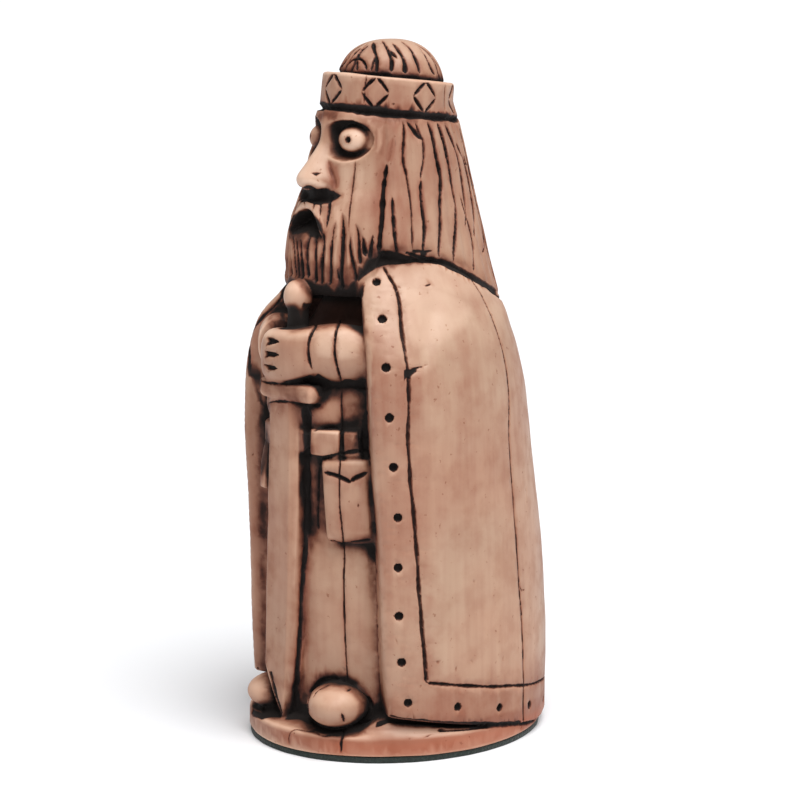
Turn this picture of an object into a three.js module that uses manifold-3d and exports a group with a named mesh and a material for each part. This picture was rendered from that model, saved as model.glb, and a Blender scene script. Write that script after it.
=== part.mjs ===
// A chess piece in the medieval manner: a bearded guard in a long cloak, cast in one with its base,
// who rests both hands on a sword. A disc of felt is glued under the base.
// Millimetres, +Z up. The figure faces -Y, and its left is +X. The origin is the middle of the felt's
// underside.
import * as THREE from "three";
import { mergeVertices } from "three/addons/utils/BufferGeometryUtils.js";
import Module from "manifold-3d";

const wasm = await Module();
wasm.setup();

// Driving dimensions of the base and the felt
const feltThickness = 0.8;
const feltInset = 0.15;
const plateThickness = 2.7;
const plateTuck = 0.6;
const plateBevel = 0.5;
const groundRise = 1.2;

// Driving dimensions of the figure. Its carving is laid out for carvedHeight and keeps its proportions.
const figureHeight = 86.5;
const carvedHeight = 86.5;
const cloakThickness = 2.7;
const cloakEdgeRound = 0.8;
const borderLineWidth = 0.6;
const borderLineDepth = 0.45;
const studDiameter = 1.1;
const studDepth = 0.5;
const beltWidth = 3.1;
const beltThickness = 0.9;
const bladeWidth = 4.8;
const bladeThickness = 2.2;
const bladeTipLength = 6.5;
const guardLength = 10.8;
const guardHeight = 2.5;
const guardThickness = 2.8;
const gripDiameter = 3.0;
const pommelWidth = 3.5;
const pommelHeight = 4.3;
const crownBandHeight = 4.2;
const crownBandThickness = 1.5;
const lozengeLineWidth = 0.5;
const lozengeLineDepth = 0.4;

// How finely the round forms are cut
const SIDES_ROUND = 30;
const SIDES_LIMB = 10;
const SIDES_STUD = 6;

const groundLevel = feltThickness + plateThickness;
const u = figureHeight / carvedHeight;
const TURN = 2 * Math.PI;
const radians = (degrees) => (degrees * Math.PI) / 180;
const smooth = (low, high, value) => THREE.MathUtils.smoothstep(value, low, high);
const mix = THREE.MathUtils.lerp;

// A point of the carving, with z counted from the top of the plate's edge.
const at = (x, y, z) => new THREE.Vector3(x * u, y * u, groundLevel + z * u);

// A value read from rows that start with a height, smoothly between the rows.
function readRow(rows, z, column) {
  const last = rows.length - 1;
  if (z <= rows[0][0]) return rows[0][column];
  if (z >= rows[last][0]) return rows[last][column];
  const i = rows.findIndex((row) => row[0] > z) - 1;
  const slope = (k) => {
    const below = rows[Math.max(k - 1, 0)];
    const above = rows[Math.min(k + 1, last)];
    return (above[column] - below[column]) / (above[0] - below[0]);
  };
  const span = rows[i + 1][0] - rows[i][0];
  const t = (z - rows[i][0]) / span;
  const rise = rows[i + 1][column] - rows[i][column];
  const bend = t * (1 - t) * ((slope(i) * span - rise) * (1 - t) - (slope(i + 1) * span - rise) * t);
  return rows[i][column] + rise * t + bend;
}

// Cloak outline: height, half width, half depth, centre forward (-) or back (+)
const CLOAK = [
  [0.3, 17.8, 20.2, 0.4],
  [12.5, 17.8, 20.2, 0.3],
  [23.5, 17.5, 19.8, -0.3],
  [34.5, 17.1, 19.4, -1.4],
  [42.5, 16.7, 18.8, -1.9],
  [47.5, 15.9, 17.7, -2.1],
  [50.5, 14.9, 16.6, -2.0],
  [53.5, 13.6, 15.4, -1.5],
  [56, 12.6, 14.3, -1.2],
  [58, 11.6, 13.2, -1.0],
  [60, 10.3, 11.9, -0.8],
  [61.5, 8.5, 10, -0.6],
];
const HEM_HEIGHT = CLOAK[0][0];
const HEM_SLOPE = 0.19;
const HEM_SLOPE_FULL = 6.3;
const HEM_SLOPE_TOP = 22;
const HEM_LOWEST = -2.1;
const HEM_SPREAD = 0.4;

// Height and angle from the front of the cloak's left edge, of the studs beside it, and of the border line
const CLOAK_EDGE = [
  [0.3, 52.5],
  [4, 51],
  [11, 50],
  [37, 51],
  [47.5, 49.5],
  [52.6, 45.7],
  [57, 42],
  [61.5, 40],
];
const STUDS = [
  [7.8, 59],
  [14.8, 59],
  [21.9, 58.5],
  [28.3, 59],
  [34.7, 59],
  [40.9, 58.3],
  [47, 57.5],
  [52.7, 55],
  [56.9, 50],
];
const BORDER_LINE = [
  [5.4, 67],
  [15, 66],
  [25, 65.3],
  [37, 65],
  [43, 66],
  [48, 65.5],
  [51.5, 64],
  [56, 61],
  [59, 53],
];
const RIGHT_EDGE_SHIFT = 8;
const HEM_LINE_HEIGHT = 5.4;
const HEM_STUD_HEIGHT = 2.6;
const HEM_STUDS = 13;

// Head, hair and beard: height, half width, half depth, centre
const HEAD = [
  [50, 12.2, 15.6, -0.2],
  [54, 11.6, 14.7, -0.5],
  [58.5, 11.0, 14.15, -1.25],
  [63.4, 10.3, 13.2, -1.56],
  [66.5, 9.8, 12.1, -1.4],
  [68.5, 9.4, 11.4, -1.2],
  [73.5, 8.8, 10.2, -1.35],
  [76.5, 8.2, 9.6, -1.5],
  [80, 7.5, 8.2, -1.3],
];
const HEAD_TOP = 79.5;
const FACE_HALF_ANGLE = 57;
const BEARD_BOTTOM = 55;
const HAIR_SIDE_BOTTOM = 60.1;
const HAIR_BACK_BOTTOM = 52.3;

// Point on the outline that rows describe, at an angle from the front, drawn in or out by offset.
function outlinePoint(rows, degrees, z, offset = 0) {
  const a = radians(degrees);
  const x = (readRow(rows, z, 1) + offset) * Math.sin(a);
  const y = readRow(rows, z, 3) - (readRow(rows, z, 2) + offset) * Math.cos(a);
  return at(x, y, z);
}

// Point on the cloak, whose hem is higher in front than behind, where it stops short of the felt.
function cloakPoint(degrees, z, offset = 0) {
  const p = outlinePoint(CLOAK, degrees, z, offset);
  const lift = -HEM_SLOPE * p.y * (1 - smooth(HEM_SLOPE_FULL, HEM_SLOPE_TOP, z));
  const lowest = groundLevel + (HEM_LOWEST + HEM_SPREAD * z) * u;
  p.z = Math.max(p.z + lift, lowest);
  return p;
}

// The direction in which the cloak faces at an angle from the front.
function outward(degrees, z) {
  const a = radians(degrees);
  const x = Math.sin(a) / readRow(CLOAK, z, 1);
  const y = -Math.cos(a) / readRow(CLOAK, z, 2);
  return new THREE.Vector3(x, y, 0).normalize();
}

// A closed mesh through rings of points, from low to high, with a fan at each end.
function loft(rings) {
  const count = rings[0].length;
  const middle = (ring) =>
    ring.reduce((sum, p) => sum.add(p), new THREE.Vector3()).divideScalar(count);
  const points = [...rings.flat(), middle(rings[0]), middle(rings[rings.length - 1])];
  const low = points.length - 2;
  const high = points.length - 1;
  const top = (rings.length - 1) * count;
  const faces = [];
  for (let j = 0; j < count; j++) {
    const k = (j + 1) % count;
    for (let i = 0; i < top; i += count) {
      faces.push(i + j, i + k, i + count + k, i + j, i + count + k, i + count + j);
    }
    faces.push(low, k, j, high, top + j, top + k);
  }
  const geometry = new THREE.BufferGeometry().setFromPoints(points);
  return geometry.setIndex(faces);
}

// The solid inside a closed geometry, with its faces turned out.
function solid(geometry) {
  const bare = geometry.clone();
  bare.deleteAttribute("normal");
  bare.deleteAttribute("uv");
  const merged = mergeVertices(bare, 1e-4);
  const vertProperties = new Float32Array(merged.attributes.position.array);
  const triVerts = new Uint32Array(merged.index.array);
  const made = new wasm.Manifold(new wasm.Mesh({ numProp: 3, vertProperties, triVerts }));
  if (made.volume() >= 0) return made;
  triVerts.reverse();
  return new wasm.Manifold(new wasm.Mesh({ numProp: 3, vertProperties, triVerts }));
}

const joined = (solids) => solids.reduce((sum, next) => sum.add(next));

// An egg or ball: centre, radii along its own axes, and a turn about Z in degrees.
function egg(centre, radii, turnZ = 0, sides = SIDES_LIMB) {
  const geometry = new THREE.SphereGeometry(1, sides, Math.round(sides * 0.6));
  geometry.rotateX(Math.PI / 2);
  geometry.scale(radii[0] * u, radii[1] * u, radii[2] * u);
  geometry.rotateZ(radians(turnZ));
  geometry.translate(centre.x, centre.y, centre.z);
  return solid(geometry);
}

// A limb through stations of [point, half width, half height], with round sections across the run.
function limb(stations, sides = SIDES_LIMB) {
  const rings = stations.map(([centre, wide, high], i) => {
    const before = stations[Math.max(i - 1, 0)][0];
    const after = stations[Math.min(i + 1, stations.length - 1)][0];
    const along = after.clone().sub(before).normalize();
    const hint = Math.abs(along.z) > 0.9 ? new THREE.Vector3(1, 0, 0) : new THREE.Vector3(0, 0, 1);
    const across = hint.cross(along).normalize();
    const up = along.clone().cross(across);
    return Array.from({ length: sides }, (_, k) => {
      const a = (k / sides) * TURN;
      const spot = centre.clone().addScaledVector(across, Math.cos(a) * wide * u);
      return spot.addScaledVector(up, Math.sin(a) * high * u);
    });
  });
  return solid(loft(rings));
}

function oval(halfWidth, halfDepth, z, sides = SIDES_ROUND) {
  return Array.from({ length: sides }, (_, i) => {
    const a = (i / sides) * TURN;
    return new THREE.Vector3(halfWidth * Math.sin(a), -halfDepth * Math.cos(a), z);
  });
}

// The base: an oval plate with a bevelled edge, whose top rises to the ground between the feet.
const plateHalfWidth = CLOAK[0][1] * u - plateTuck;
const plateHalfDepth = CLOAK[0][2] * u - plateTuck / 2;

function plate() {
  const rows = [
    [0, feltThickness],
    [0, groundLevel - plateBevel],
    [plateBevel, groundLevel],
    [plateHalfWidth * 0.16, groundLevel + groundRise * 0.75],
    [plateHalfWidth * 0.35, groundLevel + groundRise],
  ];
  return solid(loft(rows.map(([inset, z]) => oval(plateHalfWidth - inset, plateHalfDepth - inset, z))));
}

function feltPad() {
  const halfWidth = plateHalfWidth - feltInset;
  const halfDepth = plateHalfDepth - feltInset;
  return solid(loft([oval(halfWidth, halfDepth, 0), oval(halfWidth, halfDepth, feltThickness)]));
}

// The cloak and the tunic in its opening are one outline, stepped in at the cloak's two edges.
const OPENING_STEPS = 8;
const CLOAK_STEPS = 20;
const EDGE_WALL = 1.5;
const LIP = 2;
const CHEST_HOLLOW = 2.6;
const TUNIC_SET_BACK = 1.0;
const TUNIC_SIDE_FALL = 0.5;

function bodyRing(z) {
  const left = readRow(CLOAK_EDGE, z, 1);
  const right = left - RIGHT_EDGE_SHIFT;
  const thick = cloakThickness / u;
  const round = cloakEdgeRound / u;
  const hollow = CHEST_HOLLOW * smooth(46, 52, z) * (1 - smooth(57, 59.5, z));
  const tunic = Array.from({ length: OPENING_STEPS + 1 }, (_, i) => {
    const degrees = mix(EDGE_WALL - right, left - EDGE_WALL, i / OPENING_STEPS);
    const fall = TUNIC_SIDE_FALL * (degrees / left) ** 2;
    return cloakPoint(degrees, z, -thick - TUNIC_SET_BACK - hollow - fall);
  });
  const cloak = Array.from({ length: CLOAK_STEPS + 1 }, (_, i) => {
    const degrees = mix(left + LIP, 360 - right - LIP, i / CLOAK_STEPS);
    return cloakPoint(degrees, z);
  });
  return [...tunic, cloakPoint(left, z, -round), ...cloak, cloakPoint(-right, z, -round)];
}

function body() {
  const heights = [HEM_HEIGHT, 4, 12, 21, 30, 37, 42, 46, 49, 51.5, 54, 57, 59.5, 61.5];
  return solid(loft(heights.map(bodyRing)));
}

// Head, hair and beard: strands are flutes round the outline, and the face between them is smooth.
const HAIR_STRANDS = 26;
const BEARD_STRANDS = 14;
const HAIR_DEPTH = 0.6;
const BEARD_DEPTH = 0.6;
const LOWER_EDGE_TUCK = 0.8;
const MOUSTACHE_HEIGHT = 66.8;
const CHEEK_HEIGHT = 62;
const CHEEK_FADE = 0.8;
const HAIR_STRAND = [
  [0, 1],
  [0.25, 0],
  [0.75, 0],
];
const BEARD_STRAND = [
  [0, 1],
  [0.5, 0],
];

function headAngles() {
  const strands = (from, to, count, shape) =>
    Array.from({ length: count }, (_, i) =>
      shape.map(([t, deep]) => [mix(from, to, (i + t) / count), deep]),
    ).flat();
  return [
    ...strands(-FACE_HALF_ANGLE, FACE_HALF_ANGLE, BEARD_STRANDS, BEARD_STRAND),
    ...strands(FACE_HALF_ANGLE, 360 - FACE_HALF_ANGLE, HAIR_STRANDS, HAIR_STRAND),
  ];
}

const fromFront = (degrees) => Math.abs(((degrees + 180) % 360) - 180);

// Where the hair and beard end, by the angle from the front.
function hairBottom(degrees) {
  const away = fromFront(degrees);
  const side = mix(BEARD_BOTTOM, HAIR_SIDE_BOTTOM, smooth(40, 57, away));
  return mix(side, HAIR_BACK_BOTTOM, smooth(70, 165, away));
}

// How deep the flutes run: hair all the way, beard only below the cheeks and the nose.
function strandDepth(degrees, z) {
  const away = fromFront(degrees);
  if (away >= FACE_HALF_ANGLE - 1) return HAIR_DEPTH;
  const cheek = mix(MOUSTACHE_HEIGHT, CHEEK_HEIGHT, smooth(10, 50, away));
  return BEARD_DEPTH * (1 - smooth(cheek - CHEEK_FADE, cheek + CHEEK_FADE, z));
}

function head() {
  const rises = [0, 0.1, 0.26, 0.4, 0.54, 0.77, 1];
  const angles = headAngles();
  const rings = rises.map((t) =>
    angles.map(([degrees, deep]) => {
      const z = mix(hairBottom(degrees), HEAD_TOP, t);
      const tuck = t === 0 ? LOWER_EDGE_TUCK : 0;
      return outlinePoint(HEAD, degrees, z, -tuck - deep * strandDepth(degrees, z));
    }),
  );
  return solid(loft(rings));
}

// The face: sockets with almond eyes and drilled pupils, a long nose and an open mouth.
const EYE = { x: 4.1, y: -10.8, z: 74.3, turn: 27 };
const SOCKET = [3.0, 2.3, 2.55];
const EYEBALL = [2.1, 1.3, 1.45];
const PUPIL = [0.35, 0.5, 0.35];
const MOUTH = { centre: [0, -14.4, 63.4], radii: [3.0, 4.0, 2.3] };

const NOSE_BACK = -8.5;

// Nose: height, half width, front
const NOSE = [
  [67.4, 1.6, -13.2],
  [68.0, 2.2, -14.7],
  [69.0, 2.2, -15.2],
  [70.3, 1.8, -14.7],
  [72.7, 1.1, -13.3],
  [75, 0.85, -12.1],
  [77.4, 1.1, -10.9],
];

function nose() {
  const rings = NOSE.map(([z, half, front]) => [
    at(-half * 1.3, NOSE_BACK, z),
    at(-half, front + half * 0.9, z),
    at(-half * 0.4, front, z),
    at(half * 0.4, front, z),
    at(half, front + half * 0.9, z),
    at(half * 1.3, NOSE_BACK, z),
  ]);
  return solid(loft(rings));
}

function withFace(made) {
  const pair = (form) => joined([form(-1), form(1)]);
  const sockets = pair((s) => egg(at(s * EYE.x, EYE.y - 0.4, EYE.z), SOCKET, s * EYE.turn, 10));
  const ball = (s) => egg(at(s * EYE.x * 1.05, EYE.y + 1.3, EYE.z - 0.1), EYEBALL, s * EYE.turn, 8);
  const balls = pair(ball);
  const pupil = (s) => egg(at(s * EYE.x * 0.97, EYE.y, EYE.z), PUPIL, s * EYE.turn, SIDES_STUD);
  const pupils = pair(pupil);
  const mouth = egg(at(...MOUTH.centre), MOUTH.radii, 0, 10);
  return made.subtract(sockets).add(balls).subtract(pupils).subtract(mouth).add(nose());
}

// The crown: a band tipped back on the head, with lozenges cut round it, and a fluted cap of hair above.
const BAND = { y: -1.3, z: 79.5, halfWidth: 8.0, halfDepth: 8.7, tip: 6.3, lozenges: 8 };
const LOZENGE_HALF_WIDTH = 1.6;
const LOZENGE_HALF_HEIGHT = 1.55;

const bandFrame = new THREE.Matrix4()
  .makeRotationX(radians(-BAND.tip))
  .setPosition(at(0, BAND.y, BAND.z));
const bandHalfWidth = BAND.halfWidth * u;
const bandHalfDepth = BAND.halfDepth * u;

function crownBand() {
  const half = crownBandHeight / 2;
  const soft = 0.3;
  const rows = [
    [crownBandThickness, -half],
    [soft, -half],
    [0, soft - half],
    [0, half - soft],
    [soft, half],
    [crownBandThickness, half],
  ];
  const rings = rows.map(([inset, z]) => oval(bandHalfWidth - inset, bandHalfDepth - inset, z, 28));
  return solid(loft(rings).applyMatrix4(bandFrame));
}

function lozengeCuts() {
  const corners = [
    [LOZENGE_HALF_WIDTH, 0],
    [0, LOZENGE_HALF_HEIGHT],
    [-LOZENGE_HALF_WIDTH, 0],
    [0, -LOZENGE_HALF_HEIGHT],
  ];
  const cuts = Array.from({ length: BAND.lozenges }, (_, i) => {
    const a = (i / BAND.lozenges) * TURN;
    const centre = new THREE.Vector3(bandHalfWidth * Math.sin(a), -bandHalfDepth * Math.cos(a), 0);
    const out = new THREE.Vector3(Math.sin(a) / bandHalfWidth, -Math.cos(a) / bandHalfDepth, 0).normalize();
    const side = new THREE.Vector3(0, 0, 1).cross(out);
    const spots = corners.map(([s, z]) => centre.clone().addScaledVector(side, s * u).setZ(z * u));
    const cut = loopCut(centre, spots, out, lozengeLineWidth, lozengeLineDepth);
    return solid(cut.applyMatrix4(bandFrame));
  });
  return joined(cuts);
}

const CUT_LIFT = 0.35;

// A V-shaped cut that closes on itself round a centre, on a surface that faces out.
function loopCut(centre, spots, out, width, depth) {
  const sections = spots.map((spot) => {
    const across = spot.clone().sub(centre).normalize();
    return [
      spot.clone().addScaledVector(out, -depth),
      spot.clone().addScaledVector(across, width).addScaledVector(out, CUT_LIFT),
      spot.clone().addScaledVector(across, -width).addScaledVector(out, CUT_LIFT),
    ];
  });
  const faces = [];
  sections.forEach((_, i) => {
    const next = (i + 1) % sections.length;
    for (let j = 0; j < 3; j++) {
      const k = (j + 1) % 3;
      const [a, b, c, d] = [i * 3 + j, i * 3 + k, next * 3 + k, next * 3 + j];
      faces.push(a, b, c, a, c, d);
    }
  });
  return new THREE.BufferGeometry().setFromPoints(sections.flat()).setIndex(faces);
}

// A straight V-shaped cut from one point to another, on a surface that faces out.
function scratch(from, to, out, width, depth) {
  const along = to.clone().sub(from).normalize();
  const across = out.clone().cross(along);
  const ring = (p) => [
    p.clone().addScaledVector(out, -depth),
    p.clone().addScaledVector(across, width).addScaledVector(out, CUT_LIFT),
    p.clone().addScaledVector(across, -width).addScaledVector(out, CUT_LIFT),
  ];
  return loft([ring(from), ring(to)]);
}

const CAP = { y: -0.9, halfWidth: 6.6, halfDepth: 7.1, bottom: 80.4 };
const CAP_STRANDS = 16;
const CAP_STRAND_DEPTH = 0.45;

function hairCap() {
  const rises = [0, 0.4, 0.7, 0.9, 1];
  const tall = carvedHeight - CAP.bottom;
  const rings = rises.map((t) => {
    const shrink = Math.max(Math.sqrt(1 - t * t), 0.12);
    return Array.from({ length: CAP_STRANDS }, (_, i) =>
      HAIR_STRAND.map(([part, deep]) => {
        const a = ((i + part) / CAP_STRANDS) * TURN;
        const cut = deep * CAP_STRAND_DEPTH * shrink;
        const x = (CAP.halfWidth * shrink - cut) * Math.sin(a);
        const y = CAP.y - (CAP.halfDepth * shrink - cut) * Math.cos(a);
        return at(x, y, CAP.bottom + tall * t);
      }),
    ).flat();
  });
  return solid(loft(rings));
}

// Sword, held point down before the body: the blade stands out from the tunic, down to the plate.
const SWORD = { x: 0.5, front: -18.3, shoulderFront: -19.1, tipFront: -18.5, back: -13, top: 41.8, turn: 5 };
const GUARD_X = 1;
const SWORD_TIP_HEIGHT = 0.6;

function sword() {
  const half = bladeWidth / u / 2;
  const thick = bladeThickness / u;
  const section = (z, share, front) => {
    const wide = half * share;
    return [
      [SWORD.x - wide, front + 0.6],
      [SWORD.x, front],
      [SWORD.x + wide, front + 0.6],
      [SWORD.x + wide, front + thick],
      [SWORD.x + wide * 0.8, SWORD.back],
      [SWORD.x - wide * 0.8, SWORD.back],
      [SWORD.x - wide, front + thick],
    ].map(([x, y]) => at(x, y, z));
  };
  const tip = section(SWORD_TIP_HEIGHT, 0.1, SWORD.tipFront);
  const shoulder = section(SWORD_TIP_HEIGHT + bladeTipLength / u, 0.96, SWORD.shoulderFront);
  const blade = solid(loft([tip, shoulder, section(SWORD.top, 1, SWORD.front)]));
  return joined([blade, guard(), grip()]);
}

function guard() {
  const half = guardLength / u / 2;
  const tall = guardHeight / u / 2;
  const thick = guardThickness / u / 2;
  const middle = SWORD.top + tall;
  const run = radians(SWORD.turn);
  const stations = [-1, -0.88, 0.88, 1].map((s) => {
    const share = Math.abs(s) === 1 ? 0.65 : 1;
    const x = GUARD_X + s * half * Math.cos(run);
    const y = SWORD.front + 1.2 + s * half * Math.sin(run);
    return [at(x, y, middle), thick * share, tall * share];
  });
  return limb(stations, 8);
}

const POMMEL_CENTRE = 54.7;

function grip() {
  const y = SWORD.front + 3;
  const half = gripDiameter / u / 2;
  const rod = limb(
    [
      [at(SWORD.x, y, SWORD.top + 1), half, half],
      [at(SWORD.x, y, POMMEL_CENTRE), half, half],
    ],
    8,
  );
  const wide = pommelWidth / u / 2;
  return rod.add(egg(at(SWORD.x, y, POMMEL_CENTRE), [wide, wide, pommelHeight / u / 2], 0, 10));
}

// Arms: sleeves with two cuff rings each, from under the cloak to one pair of hands on the grip.
const SLEEVE = [
  [10.5, -7.5, 47.8, 3.0, 3.6],
  [8.4, -10.8, 48.2, 3.0, 3.9],
  [6.3, -13.6, 48.5, 2.9, 4.1],
  [3.8, -15.7, 48.3, 2.6, 3.3],
];
const HAND = [
  [4.6, -15.3, 48.4, 2.5, 3.1],
  [2.2, -16.6, 47.7, 2.6, 3.4],
  [-0.8, -17.2, 47.3, 2.5, 3.5],
  [-3.4, -16.9, 47.2, 2.2, 3.4],
  [-4.7, -16.0, 47.3, 1.6, 2.8],
];
const CUFF_RINGS = [1.8, 2.8];
const CUFF_RING_DEPTH = 0.35;
const CUFF_RING_HALF_WIDTH = 0.1;

const stationsOf = (rows, side) =>
  rows.map(([x, y, z, wide, high]) => [at(side * x, y, z), wide, high]);

// A row between two rows, at a place counted in rows, made thinner by cut.
function rowAt(rows, place, cut) {
  const i = Math.min(Math.floor(place), rows.length - 2);
  const row = rows[i].map((value, k) => mix(value, rows[i + 1][k], place - i));
  return [row[0], row[1], row[2], row[3] - cut, row[4] - cut];
}

function arms() {
  const steps = [-1, 0, 1];
  const ringed = CUFF_RINGS.flatMap((place) =>
    steps.map((step) => [place + step * CUFF_RING_HALF_WIDTH, step === 0 ? CUFF_RING_DEPTH : 0]),
  );
  const places = [[0, 0], [1, 0], ...ringed, [3, 0]];
  const rows = places.map(([place, cut]) => rowAt(SLEEVE, place, cut));
  const sleeves = [-1, 1].map((side) => limb(stationsOf(rows, side)));
  return joined([...sleeves, limb(stationsOf(HAND, 1), 12)]).subtract(knuckleCuts());
}

// Three wedges part the four fingers.
const FINGER_GAPS = 3;
const FINGER_PITCH = 1.8;
const FINGER_GAP_X = -0.9;
const FINGER_GAP_PLACE = 2.1;
const FINGER_GAP = { radius: 0.7, length: 2.6 };

function knuckleCuts() {
  const cuts = Array.from({ length: FINGER_GAPS }, (_, i) => {
    const up = (i - (FINGER_GAPS - 1) / 2) * FINGER_PITCH;
    const [, y, z, wide, high] = rowAt(HAND, FINGER_GAP_PLACE, 0);
    const geometry = new THREE.ConeGeometry(FINGER_GAP.radius * u, FINGER_GAP.length * u, 4);
    geometry.rotateZ(-Math.PI / 2);
    const spot = at(FINGER_GAP_X, y - wide * Math.sqrt(1 - (up / high) ** 2), z + up);
    return solid(geometry.translate(spot.x, spot.y, spot.z));
  });
  return joined(cuts);
}

// Belt, its keeper and hanging end, and the pouch with a pointed flap at the left hip.
const BELT_HEIGHT = 36.9;
const BELT_SPAN = [-40, 46];
const KEEPER_SPAN = [30.5, 36];
const KEEPER_OUT = 0.5;
const APPLIED_SINK = 1.5;
const BELT_END = [
  [-4.6, -15.2, 37, 1.6, 1.1],
  [-5.0, -16.5, 33.5, 1.3, 1.0],
  [-5.2, -17.0, 29.6, 0.9, 0.8],
];
const POUCH = { from: 25.5, to: 47.5, bottom: 24.2, top: 35, flap: 30.8 };
const POUCH_OUT = 1.3;
const FLAP_RISE = 1.6;
const FLAP_LINE_WIDTH = 0.45;
const FLAP_LINE_DEPTH = 0.5;

// A closed band on the tunic between two angles and through rows of [height, how far it stands out].
function appliedTo(from, to, rows, steps) {
  const ring = ([z, out]) => {
    const offset = out - cloakThickness / u - TUNIC_SET_BACK;
    const front = Array.from({ length: steps + 1 }, (_, i) =>
      outlinePoint(CLOAK, mix(from, to, i / steps), z, offset),
    );
    const inside = [to, from].map((degrees) => outlinePoint(CLOAK, degrees, z, offset - out - APPLIED_SINK));
    return [...front, ...inside];
  };
  return solid(loft(rows.map(ring)));
}

function belt() {
  const half = beltWidth / u / 2;
  const out = beltThickness / u;
  const strap = [
    [BELT_HEIGHT - half, out],
    [BELT_HEIGHT + half, out],
  ];
  const keeper = [
    [BELT_HEIGHT - half * 0.9, out + KEEPER_OUT],
    [BELT_HEIGHT + half * 1.2, out + KEEPER_OUT],
  ];
  return joined([appliedTo(...BELT_SPAN, strap, 8), appliedTo(...KEEPER_SPAN, keeper, 1)]);
}

function beltEnd() {
  return limb(stationsOf(BELT_END, 1), 8);
}

function pouch() {
  const bag = appliedTo(
    POUCH.from,
    POUCH.to,
    [
      [POUCH.bottom, POUCH_OUT - 0.7],
      [POUCH.bottom + 0.9, POUCH_OUT],
      [POUCH.top - 0.8, POUCH_OUT],
      [POUCH.top, POUCH_OUT - 0.4],
    ],
    3,
  );
  const offset = POUCH_OUT - cloakThickness / u - TUNIC_SET_BACK;
  const spot = (degrees, z) => outlinePoint(CLOAK, degrees, z, offset);
  const middle = mix(POUCH.from, POUCH.to, 0.55);
  const point = spot(middle, POUCH.flap);
  const out = outward(middle, POUCH.flap);
  const ends = [POUCH.from - 1, POUCH.to + 1].map((degrees) => spot(degrees, POUCH.flap + FLAP_RISE));
  const cuts = ends.map((end) => solid(scratch(end, point, out, FLAP_LINE_WIDTH, FLAP_LINE_DEPTH)));
  return bag.subtract(joined(cuts));
}

// Feet: round-toed shoes under the tunic's hem, each by its place and turn.
const FEET = [
  [7.4, -14.6, 18],
  [-6.0, -15.3, -14],
];
const FOOT = [3.9, 4.3, 2.9];
const FOOT_HEIGHT = 3.2;

function feet() {
  return joined(FEET.map(([x, y, turn]) => egg(at(x, y, FOOT_HEIGHT), FOOT, turn, 11)));
}

// A V-shaped cut that follows points on the cloak.
function lineCut(path) {
  const rings = path.map(([degrees, z], i) => {
    const here = cloakPoint(degrees, z);
    const before = cloakPoint(...path[Math.max(i - 1, 0)]);
    const after = cloakPoint(...path[Math.min(i + 1, path.length - 1)]);
    const out = outward(degrees, z);
    const across = out.clone().cross(after.sub(before).normalize()).normalize();
    return [
      here.clone().addScaledVector(out, -borderLineDepth),
      here.clone().addScaledVector(out, CUT_LIFT).addScaledVector(across, borderLineWidth),
      here.clone().addScaledVector(out, CUT_LIFT).addScaledVector(across, -borderLineWidth),
    ];
  });
  return solid(loft(rings));
}

// The cloak's border: a cut line beside both edges and round the hem, and a row of drilled studs outside it.
const mirrored = ([degrees, z]) => [360 + RIGHT_EDGE_SHIFT - degrees, z];
const turned = ([z, degrees]) => [degrees, z];

// Evenly spaced places round the hem, from the left edge's angle to its mirror image.
function roundHem(from, z, count) {
  const to = mirrored([from, z])[0];
  return Array.from({ length: count }, (_, i) => [mix(from, to, i / (count - 1)), z]);
}

function borderCuts() {
  const left = BORDER_LINE.map(turned);
  const hem = roundHem(BORDER_LINE[0][1], HEM_LINE_HEIGHT, CLOAK_STEPS);
  return joined([lineCut(left), lineCut(left.map(mirrored)), lineCut(hem)]);
}

function studHole([degrees, z]) {
  const radius = studDiameter / 2;
  const geometry = new THREE.CylinderGeometry(radius, radius, 2 * studDepth, SIDES_STUD);
  const yAxis = new THREE.Vector3(0, 1, 0);
  geometry.applyQuaternion(new THREE.Quaternion().setFromUnitVectors(yAxis, outward(degrees, z)));
  const here = cloakPoint(degrees, z);
  return solid(geometry.translate(here.x, here.y, here.z));
}

function studHoles() {
  const left = STUDS.map(turned);
  const places = [...left, ...left.map(mirrored), ...roundHem(STUDS[0][1] + 1, HEM_STUD_HEIGHT, HEM_STUDS)];
  return joined(places.map(studHole));
}

function figure() {
  const clothed = body().subtract(borderCuts()).subtract(studHoles());
  const crowned = crownBand().subtract(lozengeCuts()).add(hairCap());
  const carried = [arms(), sword(), belt(), beltEnd(), pouch(), feet()];
  return joined([plate(), clothed, withFace(head()), crowned, ...carried]);
}

function meshOf(made, name, material) {
  const { numProp, numVert, vertProperties, triVerts } = made.getMesh();
  const points = new Float32Array(numVert * 3);
  for (let i = 0; i < numVert; i++) {
    points.set(vertProperties.subarray(i * numProp, i * numProp + 3), i * 3);
  }
  const geometry = new THREE.BufferGeometry();
  geometry.setAttribute("position", new THREE.BufferAttribute(points, 3));
  geometry.setIndex(new THREE.BufferAttribute(new Uint32Array(triVerts), 1));
  geometry.computeVertexNormals();
  const mesh = new THREE.Mesh(geometry, material);
  mesh.name = name;
  return mesh;
}

const resin = new THREE.MeshStandardMaterial({ color: 0xc39a83, roughness: 0.5, metalness: 0 });
const felt = new THREE.MeshStandardMaterial({ color: 0x18211c, roughness: 0.95, metalness: 0 });

const chessPiece = new THREE.Group();
chessPiece.add(meshOf(figure(), "figure", resin), meshOf(feltPad(), "felt_pad", felt));

export default chessPiece;
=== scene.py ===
"""The looks of the chess piece: a bearded guard in cast resin with a dark wash, painted shade in its hollows
and painted highlights, and felt under it.

The carving is worked out in millimetres and set down in metres. The figure faces -Y and its left is +X.
"""

import math

import bmesh
import bpy
import numpy as np
from mathutils import Matrix, Vector
from mathutils.bvhtree import BVHTree


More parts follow.
